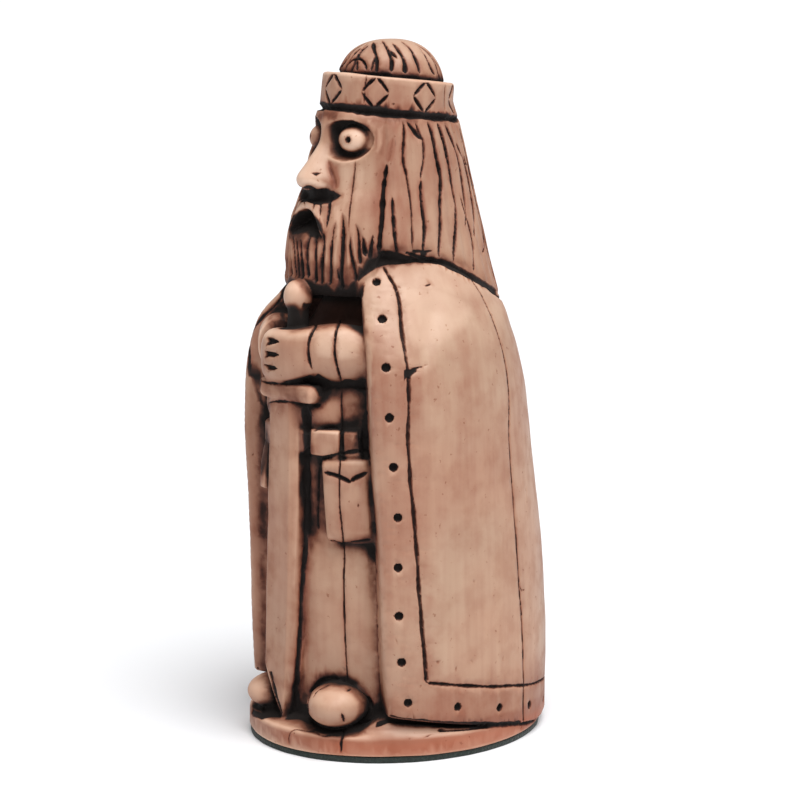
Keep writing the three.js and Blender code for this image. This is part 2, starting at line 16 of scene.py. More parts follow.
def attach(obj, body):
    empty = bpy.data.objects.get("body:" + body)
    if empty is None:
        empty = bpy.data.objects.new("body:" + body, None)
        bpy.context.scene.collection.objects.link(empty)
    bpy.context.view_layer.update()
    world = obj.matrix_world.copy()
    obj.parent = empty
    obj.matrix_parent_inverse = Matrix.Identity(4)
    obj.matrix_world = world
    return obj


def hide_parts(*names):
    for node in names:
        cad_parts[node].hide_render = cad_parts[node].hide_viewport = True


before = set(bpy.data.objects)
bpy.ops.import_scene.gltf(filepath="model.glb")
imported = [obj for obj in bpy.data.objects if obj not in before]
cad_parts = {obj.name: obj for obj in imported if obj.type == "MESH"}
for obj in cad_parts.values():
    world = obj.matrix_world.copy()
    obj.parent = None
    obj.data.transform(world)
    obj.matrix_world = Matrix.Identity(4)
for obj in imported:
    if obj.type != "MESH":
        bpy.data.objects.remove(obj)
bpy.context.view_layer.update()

bl_info = {
    "name": "Carved Chess Piece",
    "version": (1, 0, 0),
    "blender": (4, 5, 0),
    "location": "View3D > Sidebar > Chess Piece",
    "description": "Carves the guard of a medieval chess set, with its felt and a stage",
    "category": "Object",
}

MM = 0.001
FELT_THICKNESS = 0.8
FELT_INSET = 0.15
GROUND = 3.5
FIGURE_TOP = 90.0

# The cloak's outline: height over the plate, half width, half depth, centre
CLOAK = np.array((
    (0.3, 17.8, 20.2, 0.4), (12.5, 17.8, 20.2, 0.3), (23.5, 17.5, 19.8, -0.3), (34.5, 17.1, 19.4, -1.4),
    (42.5, 16.7, 18.8, -1.9), (47.5, 15.9, 17.7, -2.1), (50.5, 14.9, 16.6, -2), (53.5, 13.6, 15.4, -1.5),
    (56, 12.6, 14.3, -1.2), (58, 11.6, 13.2, -1), (60, 10.3, 11.9, -0.8), (61.5, 8.5, 10, -0.6),
))
CLOAK_THICKNESS = 2.7
TUNIC_SET_BACK = 1.0
CHEST_HOLLOW = 2.6
HEM_HEIGHT = 0.3
HEM_SLOPE = 0.19
HEM_SLOPE_FULL = 6.3
HEM_SLOPE_TOP = 22
HEM_LOWEST = -2.1
HEM_SPREAD = 0.4
PLATE_HALF_WIDTH = 17.85
PLATE_HALF_DEPTH = 20.05

# Height and angle from the front: the cloak's left edge, its studs, its border line
CLOAK_EDGE = np.array((
    (0.3, 52.5), (4, 51), (11, 50), (37, 51), (47.5, 49.5), (52.6, 45.3), (57, 40.6), (61.5, 38.4),
))
STUDS = np.array((
    (7.8, 57.7), (14.8, 57.1), (21.9, 57.7), (28.3, 59), (34.7, 59), (40.9, 58.3), (47, 57.5), (52.7, 55),
    (57.15, 49.9),
))
BORDER_LINE = np.array((
    (5.4, 67), (15, 65.1), (25, 65), (37, 65), (43, 66), (48, 65.5), (51.5, 64), (56, 61), (59, 53),
))
RIGHT_EDGE_SHIFT = 8
HEM_STUD_HEIGHT = 2.6
HEM_STUDS = 14
HEM_STUDS_FROM = 60

# The head's outline: height over the plate, half width, half depth, centre
HEAD = np.array((
    (50, 12.2, 15.6, -0.2), (54, 11.6, 14.7, -0.5), (58.5, 11, 14.15, -1.25), (63.4, 10.3, 13.2, -1.56),
    (66.5, 9.8, 12.1, -1.4), (68.5, 9.4, 11.4, -1.2), (73.5, 8.8, 10.2, -1.35), (76.5, 8.2, 9.6, -1.5),
    (80, 7.5, 8.2, -1.3),
))
HEAD_TOP = 79.5
HEAD_OVAL = (10, 13, 1.4)
CLOAK_OVAL = (17, 19)
CLOAK_CENTRE = 2

# The nose: height over the plate, half width, front
NOSE = np.array((
    (67.6, 2.8, -13.6), (68.1, 3.1, -14.3), (68.6, 3.1, -14.75), (69.3, 2.8, -15), (69.9, 2.4, -14.8),
    (71.2, 1.7, -13.75), (72.9, 1.1, -12.4), (73.9, 0.9, -11.75), (75.4, 0.85, -11.4), (77.2, 1.2, -11.1),
    (78.6, 1.6, -10.6),
))


def smooth(low, high, value):
    """0 below low, 1 above high, and a soft step between."""
    t = np.clip((np.asarray(value, float) - low) / (high - low), 0, 1)
    return t * t * (3 - 2 * t)


def mix(a, b, t):
    return a + (b - a) * t


def read(rows, height, column):
    """A column of a table at a height, smoothly between its rows."""
    heights, values = rows[:, 0], rows[:, column]
    last = len(rows) - 1
    k = np.arange(last + 1)
    low, high = np.maximum(k - 1, 0), np.minimum(k + 1, last)
    slopes = (values[high] - values[low]) / (heights[high] - heights[low])
    height = np.clip(np.asarray(height, float), heights[0], heights[-1])
    i = np.clip(np.searchsorted(heights, height, side="right") - 1, 0, last - 1)
    span = heights[i + 1] - heights[i]
    t = (height - heights[i]) / span
    rise = values[i + 1] - values[i]
    bend = (slopes[i] * span - rise) * (1 - t) - (slopes[i + 1] * span - rise) * t
    return values[i] + rise * t + t * (1 - t) * bend


def turns_round(points, half_width, half_depth, centre=0.0):
    """Angles from the front, in degrees, round an oval of these measures."""
    return np.degrees(np.arctan2(points[:, 0] / half_width, -(points[:, 1] + centre) / half_depth))


def outline(rows, degrees, height, offset=0.0):
    """Points on the outline that rows describe, at angles from the front, drawn in or out by offset."""
    a = np.radians(degrees)
    x = (read(rows, height, 1) + offset) * np.sin(a)
    y = read(rows, height, 3) - (read(rows, height, 2) + offset) * np.cos(a)
    return np.stack(np.broadcast_arrays(x, y, GROUND + np.asarray(height, float)), -1)


def cloak_skin(degrees, height):
    return cloak_point(degrees, height, CLOAK_FULL)


def cloak_point(degrees, height, offset=0.0):
    """Points on the cloak, whose hem is higher in front than behind."""
    p = outline(CLOAK, degrees, height, offset)
    lift = -HEM_SLOPE * p[..., 1] * (1 - smooth(HEM_SLOPE_FULL, HEM_SLOPE_TOP, height))
    p[..., 2] = np.maximum(p[..., 2] + lift, GROUND + HEM_LOWEST + HEM_SPREAD * height)
    return p


def waves(points, size, seed):
    """A soft wandering value, about -1 to 1, with bumps of about that size."""
    random = np.random.default_rng(seed)
    total = 0
    for _ in range(6):
        direction = random.normal(size=3)
        direction *= random.uniform(0.7, 1.4) * 2 * math.pi / (size * 2 * np.linalg.norm(direction))
        total = total + np.sin(points @ direction + random.uniform(0, 2 * math.pi))
    return total / 3


# Meshes


def coordinates(mesh):
    points = np.empty(len(mesh.vertices) * 3)
    mesh.vertices.foreach_get("co", points)
    return points.reshape(-1, 3)


def move_to(mesh, points):
    mesh.vertices.foreach_set("co", np.ascontiguousarray(points, float).ravel())
    mesh.update()


def normals_of(mesh):
    normals = np.empty(len(mesh.vertices) * 3)
    mesh.vertex_normals.foreach_get("vector", normals)
    return normals.reshape(-1, 3)


def loft(name, rings):
    """A closed form through rings of points, from low to high: the rings of a ball, moved into place."""
    rings = np.asarray(rings, float)
    count, around = rings.shape[:2]
    bpy.ops.object.select_all(action="DESELECT")
    bpy.ops.mesh.primitive_uv_sphere_add(segments=around, ring_count=count + 1, radius=1)
    form = bpy.context.object
    form.name = name
    ball = coordinates(form.data)
    ring = np.rint(np.arccos(np.clip(ball[:, 2], -1, 1)) * (count + 1) / math.pi).astype(int)
    column = np.rint(np.arctan2(ball[:, 1], ball[:, 0]) * around / (2 * math.pi)).astype(int) % around
    placed = rings[np.clip(count - ring, 0, count - 1), column]
    placed[ring == 0] = rings[-1].mean(0)
    placed[ring == count + 1] = rings[0].mean(0)
    move_to(form.data, placed)
    return form


def oval(half_width, half_depth, height, around):
    a = np.arange(around) / around * 2 * math.pi
    return np.stack([half_width * np.sin(a), -half_depth * np.cos(a), np.full(around, height)], -1)


def through(rows, count):
    """Rows of numbers followed smoothly, at count even steps."""
    rows = np.asarray(rows, float)
    table = np.column_stack([np.arange(len(rows)), rows])
    places = np.linspace(0, len(rows) - 1, count)
    return np.stack([read(table, places, k + 1) for k in range(rows.shape[1])], -1)


def limb(name, stations, steps=40, around=36, square=2.0, end_round=(0.0, 0.0)):
    """A limb through stations of x, y, height over the plate, half width, half height."""
    rows = through(stations, steps)
    centre = rows[:, :3] + [0, 0, GROUND]
    along = np.gradient(centre, axis=0)
    along /= np.linalg.norm(along, axis=1)[:, None]
    hint = np.where(np.abs(along[:, 2:]) > 0.9, [[1.0, 0, 0]], [[0, 0, 1.0]])
    across = np.cross(hint, along)
    across /= np.linalg.norm(across, axis=1)[:, None]
    up = np.cross(along, across)
    run = np.concatenate([[0], np.cumsum(np.linalg.norm(np.diff(centre, axis=0), axis=1))])
    share = np.ones(steps)
    for distance, radius in ((run, end_round[0]), (run[-1] - run, end_round[1])):
        if radius:
            share *= np.sqrt(1 - (1 - np.clip(distance / radius, 0.02, 1)) ** 2)
    a = np.arange(around) / around * 2 * math.pi
    c, s = np.cos(a), np.sin(a)
    reach = (np.abs(c) ** square + np.abs(s) ** square) ** (-1 / square)
    wide = (rows[:, 3] * share)[:, None] * (c * reach)[None]
    high = (rows[:, 4] * share)[:, None] * (s * reach)[None]
    rings = centre[:, None] + across[:, None] * wide[..., None] + up[:, None] * high[..., None]
    return loft(name, rings)


def egg(name, centre, radii, turn=0.0, around=48, rows=30):
    """A ball with its own radii, turned about the vertical."""
    polar = np.linspace(math.pi, 0, rows + 2)[1:-1]
    a = np.arange(around) / around * 2 * math.pi
    ball = np.stack(
        np.broadcast_arrays(
            np.sin(polar)[:, None] * np.sin(a) * radii[0],
            -np.sin(polar)[:, None] * np.cos(a) * radii[1],
            np.cos(polar)[:, None] * radii[2],
        ),
        -1,
    )
    t = math.radians(turn)
    spin = np.array([[math.cos(t), math.sin(t), 0], [-math.sin(t), math.cos(t), 0], [0, 0, 1]])
    return loft(name, ball @ spin + np.array(centre, float) + [0, 0, GROUND])


# Base plate

MOUND_INSET = 1.3


def base_plate():
    around = 240
    a = np.arange(around) / around * 360
    away = np.abs((a + 180) % 360 - 180)
    hem = cloak_point(a, HEM_HEIGHT)[:, 2]
    mound = np.maximum(hem - GROUND - 0.4, 0) * smooth(38, 52, away)
    rings = []
    for inset, height in (
        (0.15, FELT_THICKNESS),
        (0, FELT_THICKNESS + 0.15),
        (0, GROUND - 0.6),
        (0.12, GROUND - 0.28),
        (0.4, GROUND - 0.06),
        (0.8, GROUND),
    ):
        ring = oval(PLATE_HALF_WIDTH - inset, PLATE_HALF_DEPTH - inset, height, around)
        ring[:, 2] += mound * smooth(0, 1.2, inset) * 0.4
        rings.append(ring)
    for inset, rise, share in ((MOUND_INSET, 0.2, 0.8), (2.2, 0.6, 1.0), (4, 0.9, 1.0), (8, 1.2, 1)):
        ring = oval(PLATE_HALF_WIDTH - inset, PLATE_HALF_DEPTH - inset, GROUND + rise, around)
        ring[:, 2] = np.maximum(ring[:, 2], GROUND + mound * share)
        rings.append(ring)
    return [loft("base_form", rings)]


# Cloak and tunic: one outline, stepped in at the cloak's two edges

CLOAK_FULL = 0.25
EDGE_WALL = 1.5
LIP_END = 7.0
LIP_PROFILE = (
    (-0.55, -3), (-0.25, -2.2), (-0.1, -1.5), (-0.02, -1), (0.12, -0.6), (0.4, -0.25), (0.85, 0),
    (1.6, 0.15), (2.8, 0.2), (4.6, 0.12),
)
BLOUSE = {"height": 40.6, "out": 0.75, "tall": 1.9}
SHOULDER = (50.5, 57)
RIGHT_FULLER = 0.12
RIGHT_SHOULDER_DROP = 1.75


def clothes():
    rows = 150
    heights = np.linspace(HEM_HEIGHT, 61.5, rows)[:, None]
    left = read(CLOAK_EDGE, heights, 1)
    right = left - RIGHT_EDGE_SHIFT
    hollow = CHEST_HOLLOW * smooth(46, 52, heights) * (1 - smooth(57, 59.5, heights))

    opening = np.linspace(0, 1, 60)[None]
    tunic = mix(EDGE_WALL - right, left - EDGE_WALL, opening)
    blouse = BLOUSE["out"] * np.exp(-(((heights - BLOUSE["height"]) / BLOUSE["tall"]) ** 2))
    blouse = blouse * (1 - smooth(28, 38, np.abs(tunic)))
    fold = 0.16 * np.sin(np.radians(tunic) * 9 + heights * 0.05) * smooth(34, 20, heights)
    fall = 0.5 * (tunic / left) ** 2
    skirt = 0.45 * smooth(26, 18, heights)
    tunic_out = -CLOAK_THICKNESS - TUNIC_SET_BACK - hollow - fall + blouse + fold + skirt

    per_mm = np.degrees(1) / mix(17.5, 12.5, smooth(48, 60, heights))
    lip = np.array(LIP_PROFILE)
    lip_in, lip_out = lip[None, :, 0], lip[None, :, 1]
    lip_out = lip_out + CLOAK_FULL * (1 - 1.7 * smooth(54, 58, heights))
    lip_out = lip_out + 0.25 * smooth(1.0, 4, lip_in) * np.exp(-(((heights - 46.5) / 4.5) ** 2))
    left_lip = left + lip_in * per_mm
    right_lip = (360 - right) - lip_in * per_mm

    back = np.linspace(0, 1, 190)[None]
    start, end = left + LIP_END * per_mm, 360 - right - LIP_END * per_mm
    cloak = mix(start, end, back)
    full = CLOAK_FULL * (1 - 1.7 * smooth(54, 58, heights))
    slope = smooth(*SHOULDER, heights)
    cloak_out = full - slope * mix(0.1, 1.0, smooth(100, 140, cloak))

    degrees = np.concatenate([tunic, left_lip, cloak, right_lip[:, ::-1]], 1)
    left_out = lip_out + 0 * left_lip
    right_out = lip_out + RIGHT_FULLER - RIGHT_SHOULDER_DROP * slope + 0 * right_lip
    out = np.concatenate([tunic_out, left_out, cloak_out, right_out[:, ::-1]], 1)
    rings = cloak_point(degrees, heights + 0 * degrees, out)
    inside = slice(0, opening.shape[1])
    level = GROUND - 0.3 + heights
    drop = smooth(12, 0, heights)
    rings[:, inside, 2] = mix(rings[:, inside, 2], level + 0 * tunic, drop)
    dent = np.exp(-(((heights - 51.5) / 3.6) ** 2)) * np.exp(-(((degrees - 75) / 7.5) ** 2))
    fold_run = np.exp(-(((degrees - 71 - (heights - 46) * 1.1) / 4.5) ** 2)) * smooth(44, 48, heights)
    fold_run = fold_run * (1 - smooth(53, 56, heights))
    inward = 0.25 * dent + 0.3 * fold_run
    rings[..., :2] *= (1 - inward / 15)[..., None]
    return [loft("clothes_form", rings)]


# Head, with the face pressed and raised in its front

EYE = {"x": 3.35, "y": -10.4, "height": 74.2, "turn": 26.0}
SOCKET = {"half_width": 3.65, "half_height": 2.55, "deep": 2.2, "crisp": 0.34}
EYEBALL = {"half_width": 2.3, "half_height": 1.72, "along": 0.85, "low": 1.65, "bulge": 1.9}
PUPIL = {"along": 0.62, "drop": -0.12, "radius": 0.35, "deep": 0.5}
NOSE_END = 67.85
MOUTH_TOP = 65.6
MOUTH_HALF = 3.5
MOUTH_FALL = 3.2
MOUTH_DEEP = 3.4
MOUTH_FLOOR = (61.5, 65.0)
BEARD_TOP = np.array((
    (0, 66.6), (22, 66.6), (32.5, 65.4), (42.5, 63.3), (48, 62.3), (57, 61.8),
))
HAIR_STEP = 0.42
FAR_BEARD_TURN = 8
HAIR_BOTTOM = np.array((
    (0, 55), (45, 55), (50, 55.8), (54, 57.8), (58, 60.4), (61, 60.4), (66, 60), (80, 59.4), (93, 58.7),
    (100, 58), (108, 57.1), (117, 56), (127, 54.8), (140, 53.4), (165, 52.3), (180, 52.3),
))


def hair_bottom(degrees):
    """Where the hair and beard end, by the angle from the front."""
    turned = (np.asarray(degrees, float) + 180) % 360 - 180
    away = np.abs(turned)
    further = FAR_BEARD_TURN * smooth(74, 62, away) * smooth(30, 45, away)
    away = away - np.where(turned < 0, further, 0)
    return read(HAIR_BOTTOM, away, 1)


def soft_front(a, b, reach):
    """The nearer to the front of two surfaces, blended where they meet."""
    h = np.clip(0.5 + 0.5 * (b - a) / reach, 0, 1)
    return mix(b, a, h) - reach * h * (1 - h)


def socket_frame(side):
    """An eye's middle, its way outward and its way toward the ear."""
    turn = math.radians(side * EYE["turn"])
    out = np.array([math.sin(turn), -math.cos(turn)])
    along = np.array([math.cos(turn), math.sin(turn)]) * side
    return np.array([side * EYE["x"], EYE["y"]]), out, along


def eye_depths(points, side):
    """How far the face is pressed in at an eye: deep in the socket, and less on the eyeball."""
    middle, _, along = socket_frame(side)
    flat = points[..., :2] - middle
    s = flat @ along
    h = points[..., 2] - GROUND - EYE["height"]
    q = 1 - (s / SOCKET["half_width"]) ** 2 - (h / SOCKET["half_height"]) ** 2
    pit = SOCKET["deep"] * np.clip(q, 0, 1) ** SOCKET["crisp"] * (1 - 0.4 * smooth(0.5, 3, s))
    lens = 1 - ((s - EYEBALL["along"]) / EYEBALL["half_width"]) ** 2
    lens = lens - ((h + PUPIL["drop"]) / EYEBALL["half_height"]) ** 2
    ball = EYEBALL["low"] - EYEBALL["bulge"] * np.sqrt(np.clip(lens, 0, 1))
    return np.where((q > 0) & (lens > 0), np.minimum(pit, ball), pit)


def mouth_opening(x, height):
    """1 inside the open mouth, whose floor rises to the beard, and how far under the arch a point is."""
    under = MOUTH_TOP - MOUTH_FALL * (np.abs(x) / MOUTH_HALF) ** 2.2 - height
    opening = smooth(-0.1, 0.4, under) * smooth(*MOUTH_FLOOR, height)
    return opening * (1 - smooth(MOUTH_HALF - 0.35, MOUTH_HALF + 0.35, np.abs(x))), under


def face(points):
    """The face in the front of the head: sockets, eyeballs, nose and the open mouth."""
    front = points[..., 1] < -3
    for side in (-1, 1):
        _, out, _ = socket_frame(side)
        deep = np.where(front & (points[..., 0] * side > 0), eye_depths(points, side), 0)
        points = points - deep[..., None] * [*out, 0]

    x, y, z = points[..., 0], points[..., 1], points[..., 2]
    height = z - GROUND
    half = read(NOSE, height, 1)
    r = np.abs(x) / half
    drop = half * (0.9 * np.clip(r, 0, 1) ** 2.2 + 3.2 * np.clip(r - 1, 0, None))
    ridge = read(NOSE, height, 2) + drop
    ridge = ridge + 8 * (1 - smooth(NOSE_END - 0.3, NOSE_END + 0.3, height)) + 6 * smooth(77.6, 79.4, height)
    y = np.where(front, soft_front(y, ridge, 0.4), y)

    opening, under = mouth_opening(x, height)
    lip = 0.42 * np.exp(-(((under + 0.65) / 0.6) ** 2)) * (1 - smooth(3.2, 4.8, np.abs(x)))
    y = np.where(front, y + MOUTH_DEEP * opening - lip, y)
    return np.stack([x, y, z], -1)


def locks(degrees, height):
    """How far the locks of the beard and hair stand out."""
    away = np.abs((degrees + 180) % 360 - 180)
    beard = smooth(0.2, 1.6, read(BEARD_TOP, away, 1) - height) * (1 - smooth(50, 57, away))
    turn = degrees / 5.0 + 0.25 * np.sin(height * 0.55 + degrees * 0.11)
    strand = np.abs(np.sin(math.pi * turn)) ** 0.8 * smooth(16, 30, away) * smooth(44, 58, height)
    hair = smooth(56, 59, away) * (1 - smooth(75.5, 78.5, height))
    step = HAIR_STEP * hair * (1 - 0.9 * smooth(62, 100, away))
    broad = 0.1 * np.sin(degrees * 0.72 + 0.6 * np.sin(height * 0.13)) * hair
    return 0.18 * (strand - 0.5) * beard * smooth(59, 57, away) + step + broad


def head():
    rows = 190
    fine = np.linspace(-62, 62, 230, endpoint=False)
    plain = np.linspace(62, 298, 190, endpoint=False)
    degrees = np.concatenate([fine, plain])[None]
    rises = np.linspace(0, 1, rows)[:, None]
    bottom = hair_bottom(degrees)
    heights = mix(bottom, HEAD_TOP + 0 * degrees, rises)
    over = np.clip((heights - bottom) / 1.3, 0.05, 1)
    tuck = 1.3 * (1 - np.sqrt(1 - (1 - over) ** 2))
    degrees = degrees + 0 * heights
    points = outline(HEAD, degrees, heights, locks(degrees, heights) - tuck)
    return [loft("head_form", face(points))]


# Crown: a band tipped back on the head, and the cap of hair above it

BAND = {"y": -1.3, "height": 79.5, "half_width": 8.0, "half_depth": 8.7, "tip": 6.3, "tall": 4.2}
LOZENGES = 8
LOZENGE_HALF_WIDTH = 1.8
LOZENGE_HALF_HEIGHT = 1.93
LOZENGE_WIDTHS = (0.44, 0.62)
CAP_WIDER = (1.25, 1.3)
CAP = {"y": -0.9, "half_width": 6.6, "half_depth": 7.1, "bottom": 79.6, "round": 2.3}


def tipped(points):
    """From the band's own frame, whose floor is the band's middle, onto the head."""
    t = math.radians(BAND["tip"])
    x, y, z = points[..., 0], points[..., 1], points[..., 2]
    turned_y = y * math.cos(t) + z * math.sin(t) + BAND["y"]
    turned_z = -y * math.sin(t) + z * math.cos(t) + BAND["height"] + GROUND
    return np.stack([x, turned_y, turned_z], -1)


def band_point(degrees, height, out=0.0):
    a = np.radians(degrees)
    x = (BAND["half_width"] + out) * np.sin(a)
    y = -(BAND["half_depth"] + out) * np.cos(a)
    return tipped(np.stack(np.broadcast_arrays(x, y, np.asarray(height, float)), -1))


def cap_point(degrees, rise, out=0.0):
    a = np.radians(degrees)
    shrink = np.clip(1 - np.asarray(rise, float) ** CAP["round"], 0, 1) ** (1 / CAP["round"])
    x = (CAP["half_width"] * shrink + out) * np.sin(a)
    y = CAP["y"] - (CAP["half_depth"] * shrink + out) * np.cos(a)
    z = CAP["bottom"] + GROUND + (FIGURE_TOP - GROUND - CAP["bottom"]) * np.asarray(rise, float)
    return np.stack(np.broadcast_arrays(x, y, z), -1)


def crown():
    half = BAND["tall"] / 2
    degrees = np.arange(240) / 240 * 360
    rows = ((1.8, -half), (0.35, -half), (0.1, -half + 0.08), (0, -half + 0.3), (0.02, -0.7), (0.05, 0.7))
    rows += ((0.1, half - 0.3), (0.2, half - 0.08), (0.45, half), (2.2, half - 0.1))
    rings = [band_point(degrees, height, -inset) for inset, height in rows]
    rises = 1 - (1 - np.linspace(0, 0.998, 40)) ** 1.5
    cap = [cap_point(degrees, rise) for rise in rises]
    return [loft("band_form", rings), loft("cap_form", cap)]


# Arms, hands and sword

SLEEVE = (
    (10.5, -7.5, 47.5, 3.0, 3.3),
    (8.4, -10.8, 47.8, 3.0, 3.5),
    (6.3, -13.6, 48.1, 2.9, 3.7),
    (3.8, -15.7, 48.1, 2.6, 3.3),
)
HAND = (
    (4.6, -15.3, 48.4, 2.5, 3.1),
    (2.2, -16.6, 47.7, 2.6, 3.3),
    (-0.6, -17.2, 47.3, 2.5, 3.4),
    (-2.1, -17.0, 47.2, 2.3, 3.4),
    (-3.35, -16.6, 47.3, 2.1, 3.2),
)
SWORD = {"x": 0.5, "front": -18.3, "shoulder": -19.1, "tip": -18.5, "back": -13.0, "top": 41.8, "turn": 5}
SWORD_TIP_HEIGHT = 0.6
BLADE_EDGES = {"left": (-3.2, -2.6), "right": (2.7, 2.95)}
BLADE_THICKNESS = 2.2
BLADE_BEVELS = (0.95, 0.5)
BLADE_BELLY = 0.3
BLADE_STEPS = np.linspace(0, 1, 9)
BLADE_TIP_LENGTH = 6.5
GUARD_X = 1.0
GUARD_HALF = (5.4, 1.4, 1.25)
GRIP_RADIUS = 1.5
GRIP_BACK = 2.6
POMMEL = (1.8, 1.8, 2.2)
POMMEL_CENTRE = 54.7


def arms():
    made = []
    for side in (-1, 1):
        rows = [(side * x, y, z, wide, high) for x, y, z, wide, high in SLEEVE]
        made.append(limb("sleeve_form", rows, steps=50, around=48, square=2.3))
    made.append(limb("hand_form", HAND, steps=60, around=60, square=3.0, end_round=(0, 1.5)))
    return made


def sword():
    shoulder = SWORD_TIP_HEIGHT + BLADE_TIP_LENGTH

    def section(height, share, front):
        """One outline of the blade: a flat face, bevelled along both edges."""
        rise = (height - shoulder) / (SWORD["top"] - shoulder)
        edges = [mix(*BLADE_EDGES[side], max(rise, 0)) for side in ("left", "right")]
        edges[1] += BLADE_BELLY * math.sin(math.pi * min(max(rise, 0), 1))
        tip = SWORD["x"]
        left, right = (tip + (edge - tip) * share for edge in edges)
        near, far = (bevel * share for bevel in BLADE_BEVELS)
        spots = (
            (left, front + 0.5),
            (left + far, front + 0.08),
            (mix(left, right, 0.5), front),
            (right - near, front + 0.08),
            (right, front + 0.85),
            (right, front + BLADE_THICKNESS),
            (right - near, SWORD["back"]),
            (left + far, SWORD["back"]),
            (left, front + BLADE_THICKNESS),
        )
        return [(x, y, GROUND + height) for x, y in spots]

    sections = [
        section(SWORD_TIP_HEIGHT, 0.12, SWORD["tip"]),
        section(SWORD_TIP_HEIGHT + BLADE_TIP_LENGTH * 0.5, 0.6, SWORD["tip"] - 0.4),
    ]
    for t in BLADE_STEPS:
        front = mix(SWORD["shoulder"], SWORD["front"], t)
        sections.append(section(mix(shoulder, SWORD["top"] + 0.5, t), 1.0, front))
    blade = loft("blade_form", sections)
    half, thick, tall = GUARD_HALF
    run = math.radians(SWORD["turn"])
    middle = SWORD["top"] + tall
    ends = [
        (GUARD_X + s * half * math.cos(run), SWORD["front"] + 1.2 + s * half * math.sin(run), middle)
        for s in (-1, 1)
    ]
    guard = limb(
        "guard_form",
        [(*ends[0], thick, tall), (*ends[1], thick, tall)],
        steps=40,
        around=40,
        square=3.6,
        end_round=(1.2, 0.9),
    )
    y = SWORD["front"] + GRIP_BACK
    grip = limb(
        "grip_form",
        [
            (SWORD["x"], y, SWORD["top"] + 1, GRIP_RADIUS, GRIP_RADIUS),
            (SWORD["x"], y, POMMEL_CENTRE, GRIP_RADIUS * 0.85, GRIP_RADIUS * 0.85),
        ],
    )
    pommel = egg("pommel_form", (SWORD["x"], y, POMMEL_CENTRE), POMMEL)
    return [blade, guard, grip, pommel]


# Belt, keepers, hanging end and pouch, laid on the tunic

BELT_HEIGHT = 36.9
BELT_WIDTH = 3.1
BELT_OUT = 0.9
BELT_SPAN = (-24, 46)
KEEPER_SPANS = ((20.5, 36.2), (37.6, 46))
POUCH = {"from": 25.5, "to": 49.5, "bottom": 24.2, "top": 35.0, "flap": 30.8, "out": 1.3}
BELT_END = (
    (-4.2, -15.2, 37, 1.5, 1.1),
    (-4.5, -16.5, 33.5, 1.2, 1.0),
    (-4.7, -17.0, 29.6, 0.9, 0.8),
)


def applied(name, start, end, rows, steps=30, crown_out=0.0, side_round=0.6):
    """A pad on the tunic between two angles, through rows of height and how far it stands out."""
    across = np.linspace(-1, 1, steps)
    degrees = mix(start, end, (across + 1) / 2)
    width = math.radians(end - start) * 15
    edge = np.clip((1 - np.abs(across)) * width / 2 / side_round, 0.0, 1)
    rounding = side_round * (1 - np.sqrt(1 - (1 - edge) ** 2))
    rings = []
    for height, out in rows:
        offset = out - CLOAK_THICKNESS - TUNIC_SET_BACK + crown_out * (1 - across**2) - rounding
        front = outline(CLOAK, degrees, height, offset)
        inside = outline(CLOAK, np.array([end - 0.5, start + 0.5]), height, out - 6.0)
        rings.append(np.concatenate([front, inside]))
    return loft(name, rings)


def belt_and_pouch():
    half = BELT_WIDTH / 2

    def strap(out, grow=0.0, shift=0.0):
        low, high = BELT_HEIGHT - half - grow + shift, BELT_HEIGHT + half + grow + shift
        return ((low, out - 0.35), (low + 0.3, out), (high - 0.3, out), (high, out - 0.35))

    made = [applied("belt_form", *BELT_SPAN, strap(BELT_OUT), steps=80, side_round=0.3)]
    for span, out in zip(KEEPER_SPANS, (BELT_OUT + 0.5, BELT_OUT + 0.35)):
        made.append(applied("keeper_form", *span, strap(out, 0.15, 0.1), side_round=0.3))
    bottom, top, out = POUCH["bottom"], POUCH["top"], POUCH["out"]
    rows = (
        (bottom, out - 1.0),
        (bottom + 0.25, out - 0.45),
        (bottom + 0.8, out - 0.1),
        (bottom + 1.6, out),
        (POUCH["flap"], out + 0.1),
        (top - 0.8, out),
        (top - 0.2, out - 0.25),
        (top, out - 0.6),
    )
    made.append(applied("pouch_form", POUCH["from"], POUCH["to"], rows, crown_out=0.25, side_round=0.8))
    made.append(limb("belt_end_form", BELT_END, steps=24, square=2.6))
    return made


# Shoes

SHOES = (
    {"place": (7.4, -14.6, 3.2), "radii": (3.9, 4.3, 2.9), "turn": 18},
    {"place": (-5.4, -15.3, 2.3), "radii": (3.5, 4.0, 2.4), "turn": -14},
)


def shoes():
    return [egg("shoe_form", shoe["place"], shoe["radii"], shoe["turn"]) for shoe in SHOES]


# The photograph's camera, as fitted to it: the frame is 794 pixels square

FRAME_PIXELS = 794
FOCAL_PIXELS = 2612.0
AXIS_PIXEL = (395.5, 397.0)
CAMERA_TURN = math.radians(53.0)
CAMERA_TIP = math.radians(9.87)
CAMERA_DISTANCE = 335.0
CAMERA_HEIGHT = 102.0


def camera_axes():
    sin, cos = math.sin(CAMERA_TURN), math.cos(CAMERA_TURN)
    place = np.array([CAMERA_DISTANCE * sin, -CAMERA_DISTANCE * cos, CAMERA_HEIGHT])
    right = np.array([cos, sin, 0.0])
    ahead = np.array([-sin * math.cos(CAMERA_TIP), cos * math.cos(CAMERA_TIP), -math.sin(CAMERA_TIP)])
    return place, right, ahead, np.cross(right, ahead)


def in_view(points):
    """Where points are in the photographed view, in its pixels."""
    place, right, ahead, up = camera_axes()
    apart = points - place
    away = apart @ ahead
    across = AXIS_PIXEL[0] + FOCAL_PIXELS * (apart @ right) / away
    return np.stack([across, AXIS_PIXEL[1] - FOCAL_PIXELS * (apart @ up) / away], -1)


# Carving: lines and pits cut into the joined form


